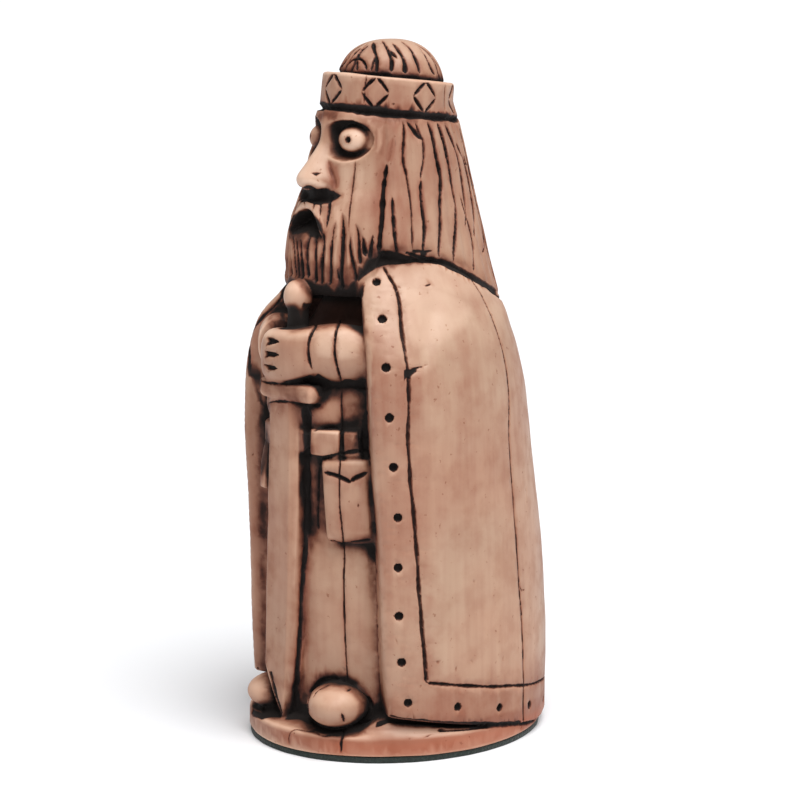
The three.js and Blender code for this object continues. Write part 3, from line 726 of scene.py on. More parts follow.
class Surface:
    """The joined form, for laying lines on it."""

    def __init__(self, form):
        self.tree = BVHTree.FromObject(form, bpy.context.evaluated_depsgraph_get())

    def seen(self, pixels, step=3.0):
        """A line on the form under a line of the photographed view, across and down in turn."""
        place, right, ahead, up = camera_axes()
        pixels = np.asarray(pixels, float).reshape(-1, 2)
        if step and len(pixels) > 1:
            count = max(int(np.abs(np.diff(pixels, axis=0)).sum() / step), 4)
            pixels = through(pixels, count)
        spots = []
        for across, down in pixels:
            ray = ahead + right * (across - AXIS_PIXEL[0]) / FOCAL_PIXELS
            ray = ray - up * (down - AXIS_PIXEL[1]) / FOCAL_PIXELS
            hit = self.tree.ray_cast(Vector(place), Vector(ray).normalized())[0]
            if hit is not None:
                spots.append(hit)
        return np.array(spots)

    def facing(self, degrees, height, reach=40.0):
        """The form's outermost points at angles from the front and heights over the plate."""
        spots = []
        for turn, level in zip(np.radians(degrees), height):
            out = Vector((math.sin(turn), -math.cos(turn), 0))
            hit = self.tree.ray_cast(out * reach + Vector((0, 0, GROUND + level)), -out)[0]
            if hit is not None:
                spots.append(hit)
        return np.array(spots)


def finer(line, step=0.35):
    """A line's points, followed smoothly at even short steps."""
    length = np.linalg.norm(np.diff(line, axis=0), axis=1).sum()
    return through(line, max(int(length / step), 3))


# The dark layer holds the wash in cuts and painted shade in hollows and under parts; the pale one holds
# painted highlights with some wear.
LAYERS = ("deep", "wash", "stain", "rub", "haze", "calm")
HAZE_MOST = 0.65
MIRROR = np.array([-1.0, 1, 1])


class Carving:
    """Cuts into a mesh: how deep each vertex goes, and how much wash and painted shade, stain, wear and
    painted highlight, and haze is on it.
    """

    def __init__(self, points, normals, cell):
        self.points = points
        self.normals = normals
        self.cell = cell
        for name in LAYERS:
            setattr(self, name, np.zeros(len(points)))
        self.slide = np.zeros_like(points)
        self.random = np.random.default_rng(7)

    def lift(self, name, found, values):
        """Raise a layer to these values, where it is lower."""
        layer = getattr(self, name)
        layer[found] = np.maximum(layer[found], values)

    def near(self, low, high):
        p = self.points
        inside = (p[:, 0] > low[0]) & (p[:, 0] < high[0])
        inside &= (p[:, 1] > low[1]) & (p[:, 1] < high[1])
        inside &= (p[:, 2] > low[2]) & (p[:, 2] < high[2])
        return np.nonzero(inside)[0]

    def line(self, line, width, depth, ends=(1.0, 1.0), rough=0.3, tone=1.0, wander=0.05, stain=0.5):
        """A cut along a line: its width, or first and last width, tapering over ends, with a rough edge."""
        if len(line) < 2:
            return
        line = finer(line)
        seed = int(self.random.integers(1 << 30))
        line = line + wander * np.stack([waves(line, 3.0, seed + k) for k in range(3)], -1)
        steps = np.linalg.norm(np.diff(line, axis=0), axis=1)
        run = np.concatenate([[0], np.cumsum(steps)])
        share = 1 + rough * (0.7 * waves(line, 1.6, seed + 5) + 0.5 * waves(line, 0.6, seed + 6))
        for distance, reach in ((run, ends[0]), (run[-1] - run, ends[1])):
            if reach:
                share = share * np.sqrt(np.clip(distance / reach, 0.0, 1))
        first_width, last_width = np.broadcast_to(width, 2)
        widths = mix(first_width, last_width, run / run[-1])
        halves = np.clip(widths / 2 * share, 0.02, None)
        depths = depth * np.clip(share, 0, 1.3)
        chunk = 12
        for first in range(0, len(line) - 1, chunk):
            part = slice(first, min(first + chunk, len(line) - 1) + 1)
            self._cut(line[part], halves[part], depths[part], tone, stain)

    def _cut(self, line, halves, depths, tone, stain):
        reach = halves.max() * (1 + 2.2 * (stain > 0)) + self.cell * 1.5
        found = self.near(line.min(0) - reach, line.max(0) + reach)
        if not len(found):
            return
        points, normals = self.points[found], self.normals[found]
        start, run = line[:-1], np.diff(line, axis=0)
        length2 = np.maximum((run**2).sum(1), 1e-9)
        t = np.clip(((points[:, None] - start) * run).sum(2) / length2, 0, 1)
        apart = points[:, None] - (start + t[..., None] * run)
        nearest = (apart**2).sum(2).argmin(1)
        pick = np.arange(len(found)), nearest
        apart, t = apart[pick], t[pick]
        level = (apart * normals).sum(1)
        apart = apart - normals * level[:, None]
        distance = np.linalg.norm(apart, axis=1)
        distance = distance + 4 * np.clip(np.abs(level) - 1.2, 0, None)
        half = mix(halves[nearest], halves[nearest + 1], t)
        deep = mix(depths[nearest], depths[nearest + 1], t)
        seat = np.maximum(half, self.cell * 0.8)
        r = distance / seat
        cut = deep * (1 - smooth(0.1, 1.0, r))
        self.lift("deep", found, cut)
        dark = tone * (1 - smooth(0.45, 1.15, r)) * np.clip(half / (self.cell * 0.75), 0.25, 1)
        self.lift("wash", found, dark)
        if stain:
            halo = stain * (1 - smooth(0.6, 3.0, r)) * np.clip(half / 0.2, 0, 1)
            self.lift("stain", found, halo)
        centred = distance < self.cell * 0.5
        self.slide[found[centred]] = -apart[centred]

    def pit(self, centre, radius, depth, tone=1.0):
        """A drilled hole with a flat floor."""
        found = self.near(centre - radius * 2.4, centre + radius * 2.4)
        points, normals = self.points[found], self.normals[found]
        apart = points - centre
        apart = apart - normals * (apart * normals).sum(1)[:, None]
        distance = np.linalg.norm(apart, axis=1)
        r = distance / radius
        self.lift("deep", found, depth * (1 - smooth(0.7, 1.08, r)))
        self.lift("wash", found, tone * (1 - smooth(0.85, 1.15, r)))
        self.lift("stain", found, 0.4 * (1 - smooth(0.8, 1.9, r)))
        rim = np.abs(distance - radius) < self.cell * 0.5
        outward = apart[rim] / np.maximum(distance[rim], 1e-6)[:, None]
        self.slide[found[rim]] = outward * (radius - distance[rim])[:, None]

    def under(self, surface, outline, soft, side=1, ragged=0.5):
        """The vertices under an outline of the photographed view, and how far in each is, from 0 to 1."""
        outline = np.asarray(outline, float).reshape(-1, 2)
        spots = surface.seen(outline, step=None)
        low, high = spots.min(0) - 1.2, spots.max(0) + 1.2
        mirror = np.array([side, 1.0, 1.0])
        if side < 0:
            low, high = low * mirror, high * mirror
            low[0], high[0] = high[0], low[0]
        found = self.near(low, high)
        points = self.points[found] * mirror
        toward = -(self.normals[found] * mirror) @ camera_axes()[2]
        view = in_view(points)
        start, run = outline, np.roll(outline, -1, 0) - outline
        apart = view[:, None] - start
        t = np.clip((apart * run).sum(2) / np.maximum((run**2).sum(1), 1e-9), 0, 1)
        edge = np.sqrt(((apart - t[..., None] * run) ** 2).sum(2).min(1))
        level = view[:, 1][:, None]
        crossed = (start[:, 1] > level) != (start[:, 1] + run[:, 1] > level)
        slope = run[:, 0] / np.where(run[:, 1] == 0, 1e-9, run[:, 1])
        left = view[:, 0][:, None] < start[:, 0] + (level - start[:, 1]) * slope
        inside = (crossed & left).sum(1) % 2 == 1
        depth = np.where(inside, edge, -edge) + ragged * waves(points, 1.1, 71)
        return found, smooth(-soft, soft, depth) * smooth(0.0, 0.15, toward)

    def patch(self, surface, outline, tone, depth, soft, side=1):
        """A dark patch under an outline of the photographed view, sunk by depth."""
        found, share = self.under(surface, outline, soft, side=side)
        self.lift("wash" if tone > HAZE_MOST else "haze", found, tone * share)
        self.lift("deep", found, depth * smooth(0.5, 1, share))

    def clear(self, centre, radii):
        """Take the cuts off a part that stands in front of them."""
        apart = (self.points - centre) / radii
        found = (apart**2).sum(1) < 1
        self.deep[found] = 0
        self.wash[found] = 0
        self.slide[found] = 0


# Lines seen in the photographed view, in its pixels, across and down in turn, after the numbers of each cut

# Hair: width, depth, tone, line
HAIR_SEEN = (
    (0.5, 0.15, 0.25, (392, 136, 390, 152, 388, 164)),
    (0.62, 0.6, 1, (387, 164, 384, 187, 382, 213, 380, 237, 379, 256)),
    (0.28, 0.35, 0.8, (402.5, 121, 403.7, 132, 403, 160, 406, 175, 410, 197, 412, 225, 412.5, 252)),
    (0.5, 0.5, 1, (392.5, 197, 394, 220, 395.7, 237, 398, 256)),
    (0.5, 0.3, 1, (406, 121, 414, 132, 419, 137.5, 423, 139)),
    (0.3, 0.4, 0.9, (415, 122, 420, 134, 423, 142, 423.7, 160, 421, 180)),
    (0.52, 0.5, 1, (421, 180, 420.5, 191, 423, 210, 425, 230, 423, 254)),
    (0.45, 0.5, 1, (427.5, 122, 432.5, 137, 436, 157, 440, 175, 441, 187, 440, 205, 440, 225, 439, 259)),
    (0.42, 0.5, 1, (
        437, 122, 443.7, 142, 448.7, 165, 452, 187, 455.5, 205, 456, 225, 454.5, 245, 453.7, 263,
    )),
    (0.4, 0.45, 1, (445, 124, 453.7, 145, 460, 170, 463.7, 195, 466, 215, 465.5, 226)),
    (0.3, 0.4, 0.95, (461, 197, 467, 220, 472.5, 243, 474, 272)),
    (0.3, 0.35, 0.9, (456, 143, 465, 165, 471, 195, 473.7, 215, 474.5, 237)),
    (0.3, 0.35, 0.9, (463.7, 155, 473.7, 187, 480, 215, 484.5, 245, 482.5, 253)),
)
# Beard and moustache: first and last width, line
BEARD_SEEN = (
    ((0.14, 0.3), (290, 236, 289, 250, 289.5, 262, 291, 277)),
    ((0.16, 0.35), (293.2, 236, 292.5, 250, 293.3, 264, 295, 278)),
    ((0.2, 0.4), (296.5, 238, 296, 252, 297, 266, 298, 279)),
    ((0.24, 0.7), (300.5, 238, 300, 252, 301, 266, 302, 280)),
    ((0.28, 0.62), (311, 234, 307, 243, 305.5, 253, 306, 265, 308, 279)),
    ((0.24, 0.42), (318, 233, 315.5, 243, 314.3, 255, 314.3, 270, 315, 284)),
    ((0.35, 0.34), (323.5, 232, 323, 243, 322, 256, 321, 270, 321.5, 286)),
    ((0.14, 0.44), (335.5, 222, 333, 232, 331, 242, 330, 255, 330, 270, 329.3, 286)),
    ((0.14, 0.72), (342.3, 213, 343.3, 224, 343.5, 238, 343, 250, 342.3, 262, 341, 275, 342.5, 291)),
    ((0.3, 0.4), (338, 266, 337, 272, 338.5, 283)),
    ((0.2, 0.32), (350, 236, 350, 248, 352, 260, 354.5, 272, 356, 282)),
    ((0.14, 0.42), (355.5, 224, 358, 232, 358.5, 245, 358.5, 255, 360.5, 265)),
    ((0.28, 0.7), (362.5, 236, 364, 246, 366, 257)),
    ((0.2, 0.8), (373, 234, 371.5, 243, 370.5, 252, 369.5, 259)),
)
MOUSTACHE_SEEN = (
    ((0.4, 0.12), (304, 200, 305, 207)),
    ((0.42, 0.16), (315.5, 199, 314, 206, 312.5, 211)),
    ((0.5, 0.16), (322.3, 199, 320.7, 206, 320, 217)),
    ((0.58, 0.34), (330.3, 197, 329.5, 205, 328.5, 213, 327, 221, 326, 228)),
)
# Grooves of the cap: first width, last width, line
CAP_SEEN = (
    (0.34, 0.34, (345, 67, 350, 62, 356, 58.5, 361, 59.5, 365, 64, 367, 71)),
    (0.28, 0.28, (357.5, 59, 356.5, 66, 357, 71)),
    (0.12, 0.3, (368, 43, 362, 49, 359, 55, 357.5, 59)),
    (0.4, 0.5, (373, 42, 374, 50, 376, 56, 376.5, 64, 376, 73)),
    (0.3, 0.24, (375, 56, 372.5, 65, 371, 72)),
    (0.24, 0.5, (382, 40.5, 386, 47, 389, 53, 391, 58, 392, 64, 391, 72)),
    (0.5, 0.24, (389.5, 50, 394, 55, 397, 58.5)),
    (0.24, 0.62, (392.5, 43, 397, 48, 401, 54, 404, 60, 405, 67, 405, 74)),
    (0.18, 0.52, (401, 41, 407, 46, 412, 52, 415, 58, 418, 65, 420, 74)),
    (0.12, 0.5, (419, 47, 425, 55, 428, 61, 431, 68, 435, 75)),
    (0.3, 0.12, (338, 69, 345, 63, 350, 56)),
)
# Single lines: the crack down the front, the crack in the cheek, the nostril, the pouch's flap
FRONT_CRACK_SEEN = (
    342, 388, 341.5, 405, 342.5, 425, 341, 440, 340.5, 455, 339.5, 480, 339.5, 505, 341.5, 525, 344, 550,
    343.5, 580, 344.5, 620, 346, 660, 347.5, 684,
)
CHEEK_CRACK_SEEN = (355, 161, 353.7, 180, 351, 200, 349, 215, 348.5, 233)
NOSTRIL_SEEN = (311.5, 172.8, 314.5, 173.6, 318, 174, 321.5, 172.5)
FLAP_SEEN = (
    (323.5, 472, 335, 475, 344, 479, 351, 482.5),
    (351, 482.5, 354, 479, 361, 476, 369, 472),
)

# Dark patches seen in that view: tone, depth, softness of the edge in pixels, outline
# Most of these are painted shade, with some wash, in hollows, under overhangs and between parts; the
# notches, the hair mark and the gash are cut and washed.
DARKS_SEEN = {
    "first knuckle notch": (1, 0.4, 0.5, (
        266.8, 337, 271.5, 338, 277, 339.8, 280.5, 341.8, 277, 343.3, 271, 344, 266, 345.3, 268.8, 341,
    )),
    "second knuckle notch": (1, 0.4, 0.5, (
        264.5, 350.8, 270, 351.5, 275, 353, 279, 354.7, 274, 357, 268, 357.3, 264, 358.2, 265.8, 354.5,
    )),
    "third knuckle notch": (1, 0.4, 0.5, (
        263.8, 364.3, 270, 364.5, 274, 366, 278, 368.5, 273.5, 370, 268, 370, 266.3, 367,
    )),
    "beard foot": (1, 0.1, 4, (
        287, 282, 290, 278, 295, 279, 300, 277.5, 305, 279, 311, 280, 316, 283, 322, 284, 327, 282,
        330, 286, 334, 291, 338, 284, 341, 280, 344, 281, 346, 288, 349, 283, 354, 279, 357, 273,
        359, 266, 362, 268, 364, 263, 367, 258, 372, 256, 378, 256, 381, 250, 384, 249, 384, 262,
        376, 266, 369, 270, 362, 275, 357.5, 281, 358, 300, 330, 300, 311, 300,
    )),
    "hair mark": (0.95, 0.2, 0.7, (
        413, 250.5, 420, 250, 428, 249.7, 434, 250, 433, 251.8, 428, 252.5, 426, 256, 424, 260, 420, 260,
        420, 253, 413, 253,
    )),
    "chest": (0.72, 0, 2.4, (
        311, 298, 318, 300, 334, 290, 341, 284, 358, 284, 361, 300, 363, 312, 364, 330, 361, 331,
        357, 326, 351, 321, 345, 322, 338, 325, 330, 325.5, 322, 327.5, 316, 326, 311, 329.5, 300, 330.8,
        291, 329.5, 285, 327, 284.5, 318, 290, 312, 297, 312, 303, 308, 308, 302,
    )),
    "far sleeve": (0.42, 0, 2.2, (284, 300, 286, 327, 276, 327, 268, 327, 262, 330, 268, 317, 276, 307)),
    "far sleeve edge": (0.92, 0, 2.4, (277, 304, 285, 299, 286, 327, 282, 322, 279, 314)),
    "far arm": (0.95, 0, 1.5, (
        247, 362, 252, 364, 258, 368, 261, 371, 261.5, 378, 260.5, 386, 260, 392, 262, 400, 268, 404,
        270, 412, 264, 412, 260, 404, 257, 392, 255, 382, 251, 377, 248, 376,
    )),
    "far strip": (0.64, 0, 3, (
        262, 402, 258, 420, 258, 500, 260, 540, 261, 600, 261.5, 668, 266.5, 668, 266, 600, 264.5, 560,
        267, 515, 268, 490, 262.5, 488, 262, 478, 266, 462, 269.5, 440, 267.5, 428, 270.5, 404,
    )),
    "under sleeve": (1, 0.2, 0.9, (
        305, 377.5, 310, 375, 314, 377, 318, 373.5, 322, 376, 327, 379, 331, 382, 340, 383, 345, 379.5,
        351, 379, 356, 380.5, 362, 379, 366.5, 380, 368, 389, 350, 389, 335, 388.5, 328, 390, 320, 397,
        316, 387, 308, 384, 300, 384, 280, 385, 266, 384, 262, 381, 280, 382.5,
    )),
    "right chest": (0.62, 0, 1.6, (342, 387, 368, 387, 368, 424, 355, 424, 342, 427)),
    "left chest": (0.55, 0, 2, (313, 384, 341, 387, 341, 402, 330, 403, 320, 410, 314, 408, 320, 398)),
    "over belt": (1, 0, 1.2, (342, 421, 368, 418, 368, 426, 356, 425.5, 342.5, 428.5)),
    "beside belt": (0.95, 0.15, 1, (358.5, 429, 361, 429, 361, 438, 368, 436, 368, 456, 358.5, 451)),
    "under belt": (1, 0.3, 0.8, (
        321, 457, 332, 454.5, 341, 451.5, 350, 449.5, 362, 449, 368.5, 450, 368.5, 455, 360, 453,
        350, 454.5, 341, 456, 331, 458.5, 322, 459,
    )),
    "blade side": (1, 0, 1, (
        300.5, 404, 321, 404.5, 321, 407.5, 313, 409, 311.5, 420, 311, 434, 310.5, 455, 310, 470,
        309.5, 500, 309, 520, 308.5, 545, 306.5, 565, 304.5, 590, 302.5, 630, 300.5, 665, 299.5, 690,
        293.5, 690, 296.5, 655, 299, 610, 300.5, 585, 302, 560, 304, 530, 304.5, 500, 304.5, 470,
        304, 445, 302.5, 428, 301, 415,
    )),
    "hair corner": (1, 0.25, 1.2, (
        356, 280, 360, 273, 366, 268, 370, 262, 376, 258, 381, 251, 390, 251, 390, 264.5, 384, 265.5,
        376, 268.5, 371, 272, 364, 277, 358.5, 282,
    )),
    "sleeve haze": (0.4, 0, 4, (
        283, 322, 300, 318, 330, 317, 355, 319, 368, 328, 368, 338, 352, 330, 335, 330, 320, 332,
        290, 334,
    )),
    "step haze": (0.2, 0, 5, (377, 130, 386, 130, 386, 165, 381, 205, 378, 250, 371, 232, 374, 190)),
    "gash": (1, 0.15, 0.6, (
        404.5, 369.8, 410, 369.5, 414, 367.8, 418, 366.8, 421, 366.4, 417, 368.8, 416, 370, 417.5, 371.3,
        414.5, 373.2, 412, 375.5, 411, 377.5, 413.5, 378.8, 412, 380.2, 409.5, 379, 406, 378, 404, 382,
    )),
    "far shoe": (1, 0.2, 0.9, (
        249, 708, 262, 711.5, 264, 705, 270, 703.5, 275, 704.5, 274, 697, 272, 686, 269.5, 672,
        271.5, 672, 275, 684, 278, 697, 282, 712, 281, 717, 272, 717, 262, 719.5, 253, 717,
    )),
    "beside blade": (1, 0.1, 1, (
        296, 692, 300, 690, 300, 703, 308, 704, 309, 712, 308, 718, 316, 724, 310, 724, 300, 720,
        285, 719, 290, 712, 294, 702,
    )),
}
# The same, laid on both halves of the figure
# Painted shade with some wash: in the mouth, under the nose, the band and the brow, at the foot of the hair
# and beard, beside the nose, under the eye and under the cloak's lip.
BOTH_SIDES_SEEN = {
    "mouth": (1, 0, 1.6, (
        304.5, 209.8, 310, 212.2, 316, 217, 320.5, 222, 323, 228, 324, 234, 322, 235, 319, 231, 315, 231,
        309, 232, 303, 234, 298, 236, 295, 235, 292.5, 232, 291, 227, 291.3, 222, 294, 215.5, 299, 211,
    )),
    "under nose": (1, 0.25, 0.8, (
        300.4, 190.3, 303, 187.6, 307, 185.6, 311, 186, 316, 188, 322, 191, 327, 192.8, 331, 191.8,
        334, 190.5, 336.3, 193, 336, 197, 334, 199.6, 331, 201.3, 320, 201.7, 312, 201.3, 306, 202,
        300, 202.5, 299.5, 197,
    )),
    "hair foot": (1, 0.25, 0.9, (
        384, 251, 390, 251, 400, 254, 412, 257, 425, 259, 437, 261, 447, 262.5, 458, 266.5, 470, 272,
        482, 279, 492, 286, 497, 290, 496, 295, 490, 290.8, 478, 284, 466, 277, 455, 271.8, 447, 267.6,
        438, 264.5, 425, 262.5, 411, 263, 400, 265, 392, 264, 384, 265.5,
    )),
    "lip shade": (1, 0.2, 0.9, (
        377, 722, 388, 717.5, 400, 718, 415, 719, 432, 720.5, 450, 721.5, 480, 722, 500, 722, 521, 721,
        521, 725.5, 505, 726, 485, 726.5, 462, 726.5, 440, 725.7, 420, 724.2, 400, 723.3, 388, 723.4,
        381, 726, 376, 727,
    )),
    "under band": (1, 0, 0.9, (
        320, 102.5, 340, 103.5, 360, 104.7, 380, 106.5, 400, 109.5, 420, 111.5, 440, 112.5, 455, 116,
        456, 121, 440, 118.5, 420, 117, 400, 116, 385, 114.5, 370, 112, 355, 109.5, 340, 108, 328, 107.5,
        320, 108,
    )),
    "mouth haze": (0.5, 0, 4, (
        290, 226, 300, 230, 315, 228, 325, 232, 325, 244, 318, 243, 308, 247, 298, 249, 291, 246,
    )),
    "beard haze": (0.42, 0, 5, (
        288, 262, 300, 256, 330, 264, 345, 266, 360, 256, 372, 246, 384, 240, 384, 262, 357, 285,
        330, 296, 311, 296, 287, 284,
    )),
    "hair haze": (0.3, 0, 4, (
        388, 242, 410, 243, 430, 246, 465, 259, 490, 279, 497, 292, 480, 281, 460, 268, 430, 260,
        400, 254, 388, 250,
    )),
    "under eye": (0.14, 0, 3, (
        331, 150, 340, 158, 352, 162, 366, 158, 374, 148, 378, 150, 366, 166, 350, 169, 334, 163,
    )),
    "nose side": (0.32, 0, 2.4, (326, 163, 332, 168, 337, 180, 339, 192, 334, 195, 329, 187, 330, 180)),
    "brow haze": (0.4, 0, 3, (
        318, 106, 345, 107, 370, 110, 385, 113, 400, 115, 455, 119, 456, 126, 430, 124, 405, 124,
        385, 122, 372, 116, 350, 113, 335, 114, 326, 120, 317, 118,
    )),
}

# Patches seen in that view that are painted pale, painted highlights with some wear: amount, softness of the
# edge in pixels, outline
WORN_AND_HIGHLIT_SEEN = (
    (1, 1.6, (
        299, 179, 303, 177, 312, 178.5, 322, 180.5, 326, 184, 326, 188.5, 320, 188, 311, 184, 300, 185,
    )),
    (0.6, 2, (304, 163, 309, 165, 307, 172, 304, 178, 299, 178, 301, 171)),
    (1, 3, (342, 133, 352, 130, 362, 132, 366, 139, 361, 147, 352, 150, 343, 148)),
    (0.7, 2, (360, 114, 368, 117, 374, 124, 377, 132, 374, 133, 370, 125, 364, 119)),
    (0.4, 4, (338, 164, 352, 162, 364, 168, 364, 200, 342, 206, 339, 180)),
    (0.7, 1.5, (377, 116, 382, 126, 382, 144, 377, 154, 375, 152, 379, 143, 379, 127)),
    (0.5, 3, (331, 202, 340, 206, 346, 214, 340, 240, 334, 240, 334, 215)),
    (0.5, 10, (364, 298, 380, 287, 400, 283, 440, 284, 464, 298, 476, 312, 464, 330, 440, 346, 412, 348)),
    (0.15, 3, (290, 290, 297, 287, 305, 288, 307, 293, 302, 297, 294, 298)),
    (0.55, 5, (316, 332, 334, 330, 344, 329, 356, 331, 361, 340, 358, 358, 340, 360, 316, 356)),
    (0.5, 1.2, (
        296, 421, 299.5, 421, 298.5, 480, 297, 540, 293, 620, 290, 684, 287, 684, 291, 620, 294, 540,
        295.5, 480,
    )),
)

# Patches seen in that view that get less of the painted shade of hollows and the haze, in the same way
CALM_SEEN = (
    (0.7, 3, (
        309, 545, 368, 552, 372, 600, 374, 650, 374, 700, 370, 700, 366, 689, 352, 678, 338, 672,
        322, 676, 308, 688, 303, 684, 306, 620,
    )),
    (0.7, 3, (247, 318, 266, 318, 266, 345, 264, 362, 262, 380, 252, 366, 246, 345)),
    (0.85, 2, (366, 131, 372, 130, 377, 138, 374, 148, 366, 148, 368, 139)),
    (0.7, 3, (324, 464, 368, 458, 371, 534, 332, 540, 326, 520)),
    (0.85, 1.2, (
        386, 726.5, 420, 727, 460, 729, 505, 728.5, 521, 727, 521, 735, 460, 741, 400, 737, 378, 732,
    )),
    (0.6, 3, (272, 420, 296, 420, 296, 560, 290, 680, 282, 640, 272, 560)),
    (0.75, 1.5, (314, 430, 341, 430, 341, 451, 322, 456, 314, 456)),
    (0.5, 3, (316, 402, 340, 400, 340, 425, 316, 427)),
    (0.55, 3, (343, 390, 366, 390, 366, 420, 343, 424)),
    (0.5, 2, (298, 640, 307, 640, 307, 690, 302, 700, 297, 700)),
    (0.6, 3, (371, 560, 378, 560, 379, 700, 374, 708, 370, 700)),
)


def both_sides(line, apart):
    """A line, and its mirror image where all of it is further than apart from the middle."""
    return (line, line * MIRROR) if line[:, 0].min() > apart else (line,)


HAIR_WIDER = 1.2
BACK_STRANDS = (140, 222, 8.6)
BACK_STRANDS_TOP = 77.3
BEARD_WIDER = (1.15, 1.4)
BEARD_TROUGH = (1.6, 0.34)
NOSE_WING_SEEN = (328, 160, 331, 170, 334.5, 180, 335, 189)
NOSTRIL_MARK_SEEN = (320, 170.5, 326, 171.5)
BEARD_APART = 3.5
MOUSTACHE_APART = 1.2
UNDER_NOSE_HEIGHT = 67.2


def cut_strands(carving, surface):
    """Strands of the hair, beard and moustache."""
    for width, depth, tone, pixels in HAIR_SEEN:
        line = surface.seen(pixels)
        width = width * HAIR_WIDER
        carving.line(line, width, depth, rough=0.35, tone=tone, wander=0.06, stain=0.9)
        carving.line(line * MIRROR, width, depth, rough=0.35, tone=tone, wander=0.12, stain=0.9)
    random = carving.random
    for turn in np.arange(*BACK_STRANDS):
        degrees = turn + random.uniform(-1.5, 1.5)
        low = hair_bottom(degrees) + random.uniform(0.2, 2.0)
        high = BACK_STRANDS_TOP - random.uniform(0, 3)
        heights = np.linspace(high, low, 8)
        sway = random.uniform(-1.6, 1.6) * np.linspace(0, 1, 8) + random.normal(0, 0.35, 8)
        line = outline(HEAD, degrees + sway, heights)
        carving.line(line, random.uniform(0.3, 0.5), 0.45, rough=0.35, wander=0.08)
        if random.random() < 0.5:
            spot = int(random.integers(3, 6))
            turns = degrees + sway[spot] + np.array([0, 1.6, 2.6])
            branch = outline(HEAD, turns, heights[spot] - np.array([0, 3, 6.5]))
            carving.line(branch, 0.3, 0.35, rough=0.3, wander=0.08)

    for widths, pixels in BEARD_SEEN:
        wider = (widths[0] * BEARD_WIDER[0], widths[1] * BEARD_WIDER[1])
        for strand in both_sides(surface.seen(pixels), BEARD_APART):
            carving.line(strand, wider, 0.6, ends=(1.2, 0.3), rough=0.3, wander=0.06, stain=0.9)
            # A wide soft trough beside each strand, lightly darkened as painted shade that rounds the
            # strands.
            carving.line(strand, *BEARD_TROUGH, ends=(2.0, 0.3), rough=0.1, tone=0.12, stain=0)
    for widths, pixels in MOUSTACHE_SEEN:
        for strand in both_sides(surface.seen(pixels), MOUSTACHE_APART):
            carving.line(strand, widths, 0.45, ends=(0.1, 0.9), rough=0.2)


def cut_face(carving, surface):
    """The line under the nose, its wings and nostrils, the cheek's crack and the pupils."""
    wide = np.linspace(-17, 17, 17)
    under_nose = surface.facing(wide, UNDER_NOSE_HEIGHT + 0 * wide)
    carving.line(under_nose, 2.0, 0.8, ends=(0.7, 0.7), rough=0.12, stain=0.5)
    for side in (-1, 1):
        wing = surface.seen(NOSE_WING_SEEN) * [side, 1, 1]
        carving.line(wing, 0.7, 0.16, ends=(1.0, 0.3), rough=0.2, tone=0.3, stain=0.9)
    carving.line(surface.seen(CHEEK_CRACK_SEEN), 0.16, 0.22, ends=(0.5, 2), rough=0.3, wander=0.03)
    carving.line(surface.seen(NOSTRIL_SEEN), (0.3, 0.5), 0.18, ends=(0.2, 0.2), rough=0.6, tone=0.9)
    carving.line(surface.seen(NOSTRIL_MARK_SEEN), 0.2, 0.05, tone=0.3)

    for side in (-1, 1):
        middle, out, along = socket_frame(side)
        offset = PUPIL["along"] - EYEBALL["along"]
        level = EYEBALL["bulge"] * math.sqrt(1 - (offset / EYEBALL["half_width"]) ** 2) - EYEBALL["low"]
        spot = middle + along * PUPIL["along"] + out * level
        centre = np.array([*spot, GROUND + EYE["height"] - PUPIL["drop"]])
        carving.pit(centre, PUPIL["radius"], PUPIL["deep"])


def darken_head(carving, surface):
    """The line under the hair, and painted shade with some wash in the open mouth, at the foot of the beard
    and deep in the sockets.
    """
    points = carving.points
    height = points[:, 2] - GROUND
    turns = turns_round(points, *HEAD_OVAL)
    around = np.linspace(58, 302, 200)
    low = surface.facing(around, hair_bottom(around) - 0.1)
    carving.line(low, 0.7, 0.4, ends=(0.3, 0.3), rough=0.45, wander=0.12, stain=0.8)
    skin = outline(HEAD, turns, np.clip(height, 50, 80))
    sunk = points[:, 1] - skin[:, 1]
    # Painted shade inside the open mouth, darker where it is sunk deeper.
    inside = (points[:, 1] < -8) & (np.abs(points[:, 0]) < 5) & (height > 59) & (height < 66.5)
    dark = smooth(0.5, 1.5, sunk) * inside
    away = np.abs(turns)
    foot = height - hair_bottom(turns)
    # Painted shade at the foot of the beard, darkest at its lower edge.
    bearded = (points[:, 1] < 0) & (away < 48) & (foot > -1.5) & (foot < 6)
    low_dark = smooth(2.8, 0.2, foot + 0.6 * waves(points, 1.4, 31)) * 0.9
    dark = np.maximum(dark, low_dark * bearded * (sunk > -1.2))
    # Painted shade deep in each socket, less towards the ear at the eye's height.
    for side in (-1, 1):
        middle, out, along = socket_frame(side)
        beside = (points[:, :2] - middle) @ along
        h = height - EYE["height"]
        q = 1 - (beside / (SOCKET["half_width"] + 0.1)) ** 2 - (h / (SOCKET["half_height"] + 0.1)) ** 2
        below = -((points[:, :2] - middle) @ out)
        near = (points[:, 1] < -5) & (q > 0) & (points[:, 0] * side > 0.5)
        corner = smooth(1.6, 2.6, beside) * (1 - smooth(1.1, 1.9, np.abs(h - 0.1)))
        dark = np.maximum(dark, near * smooth(0.3, 1.05, below) * (1 - 0.85 * corner))
    carving.wash = np.maximum(carving.wash, dark)


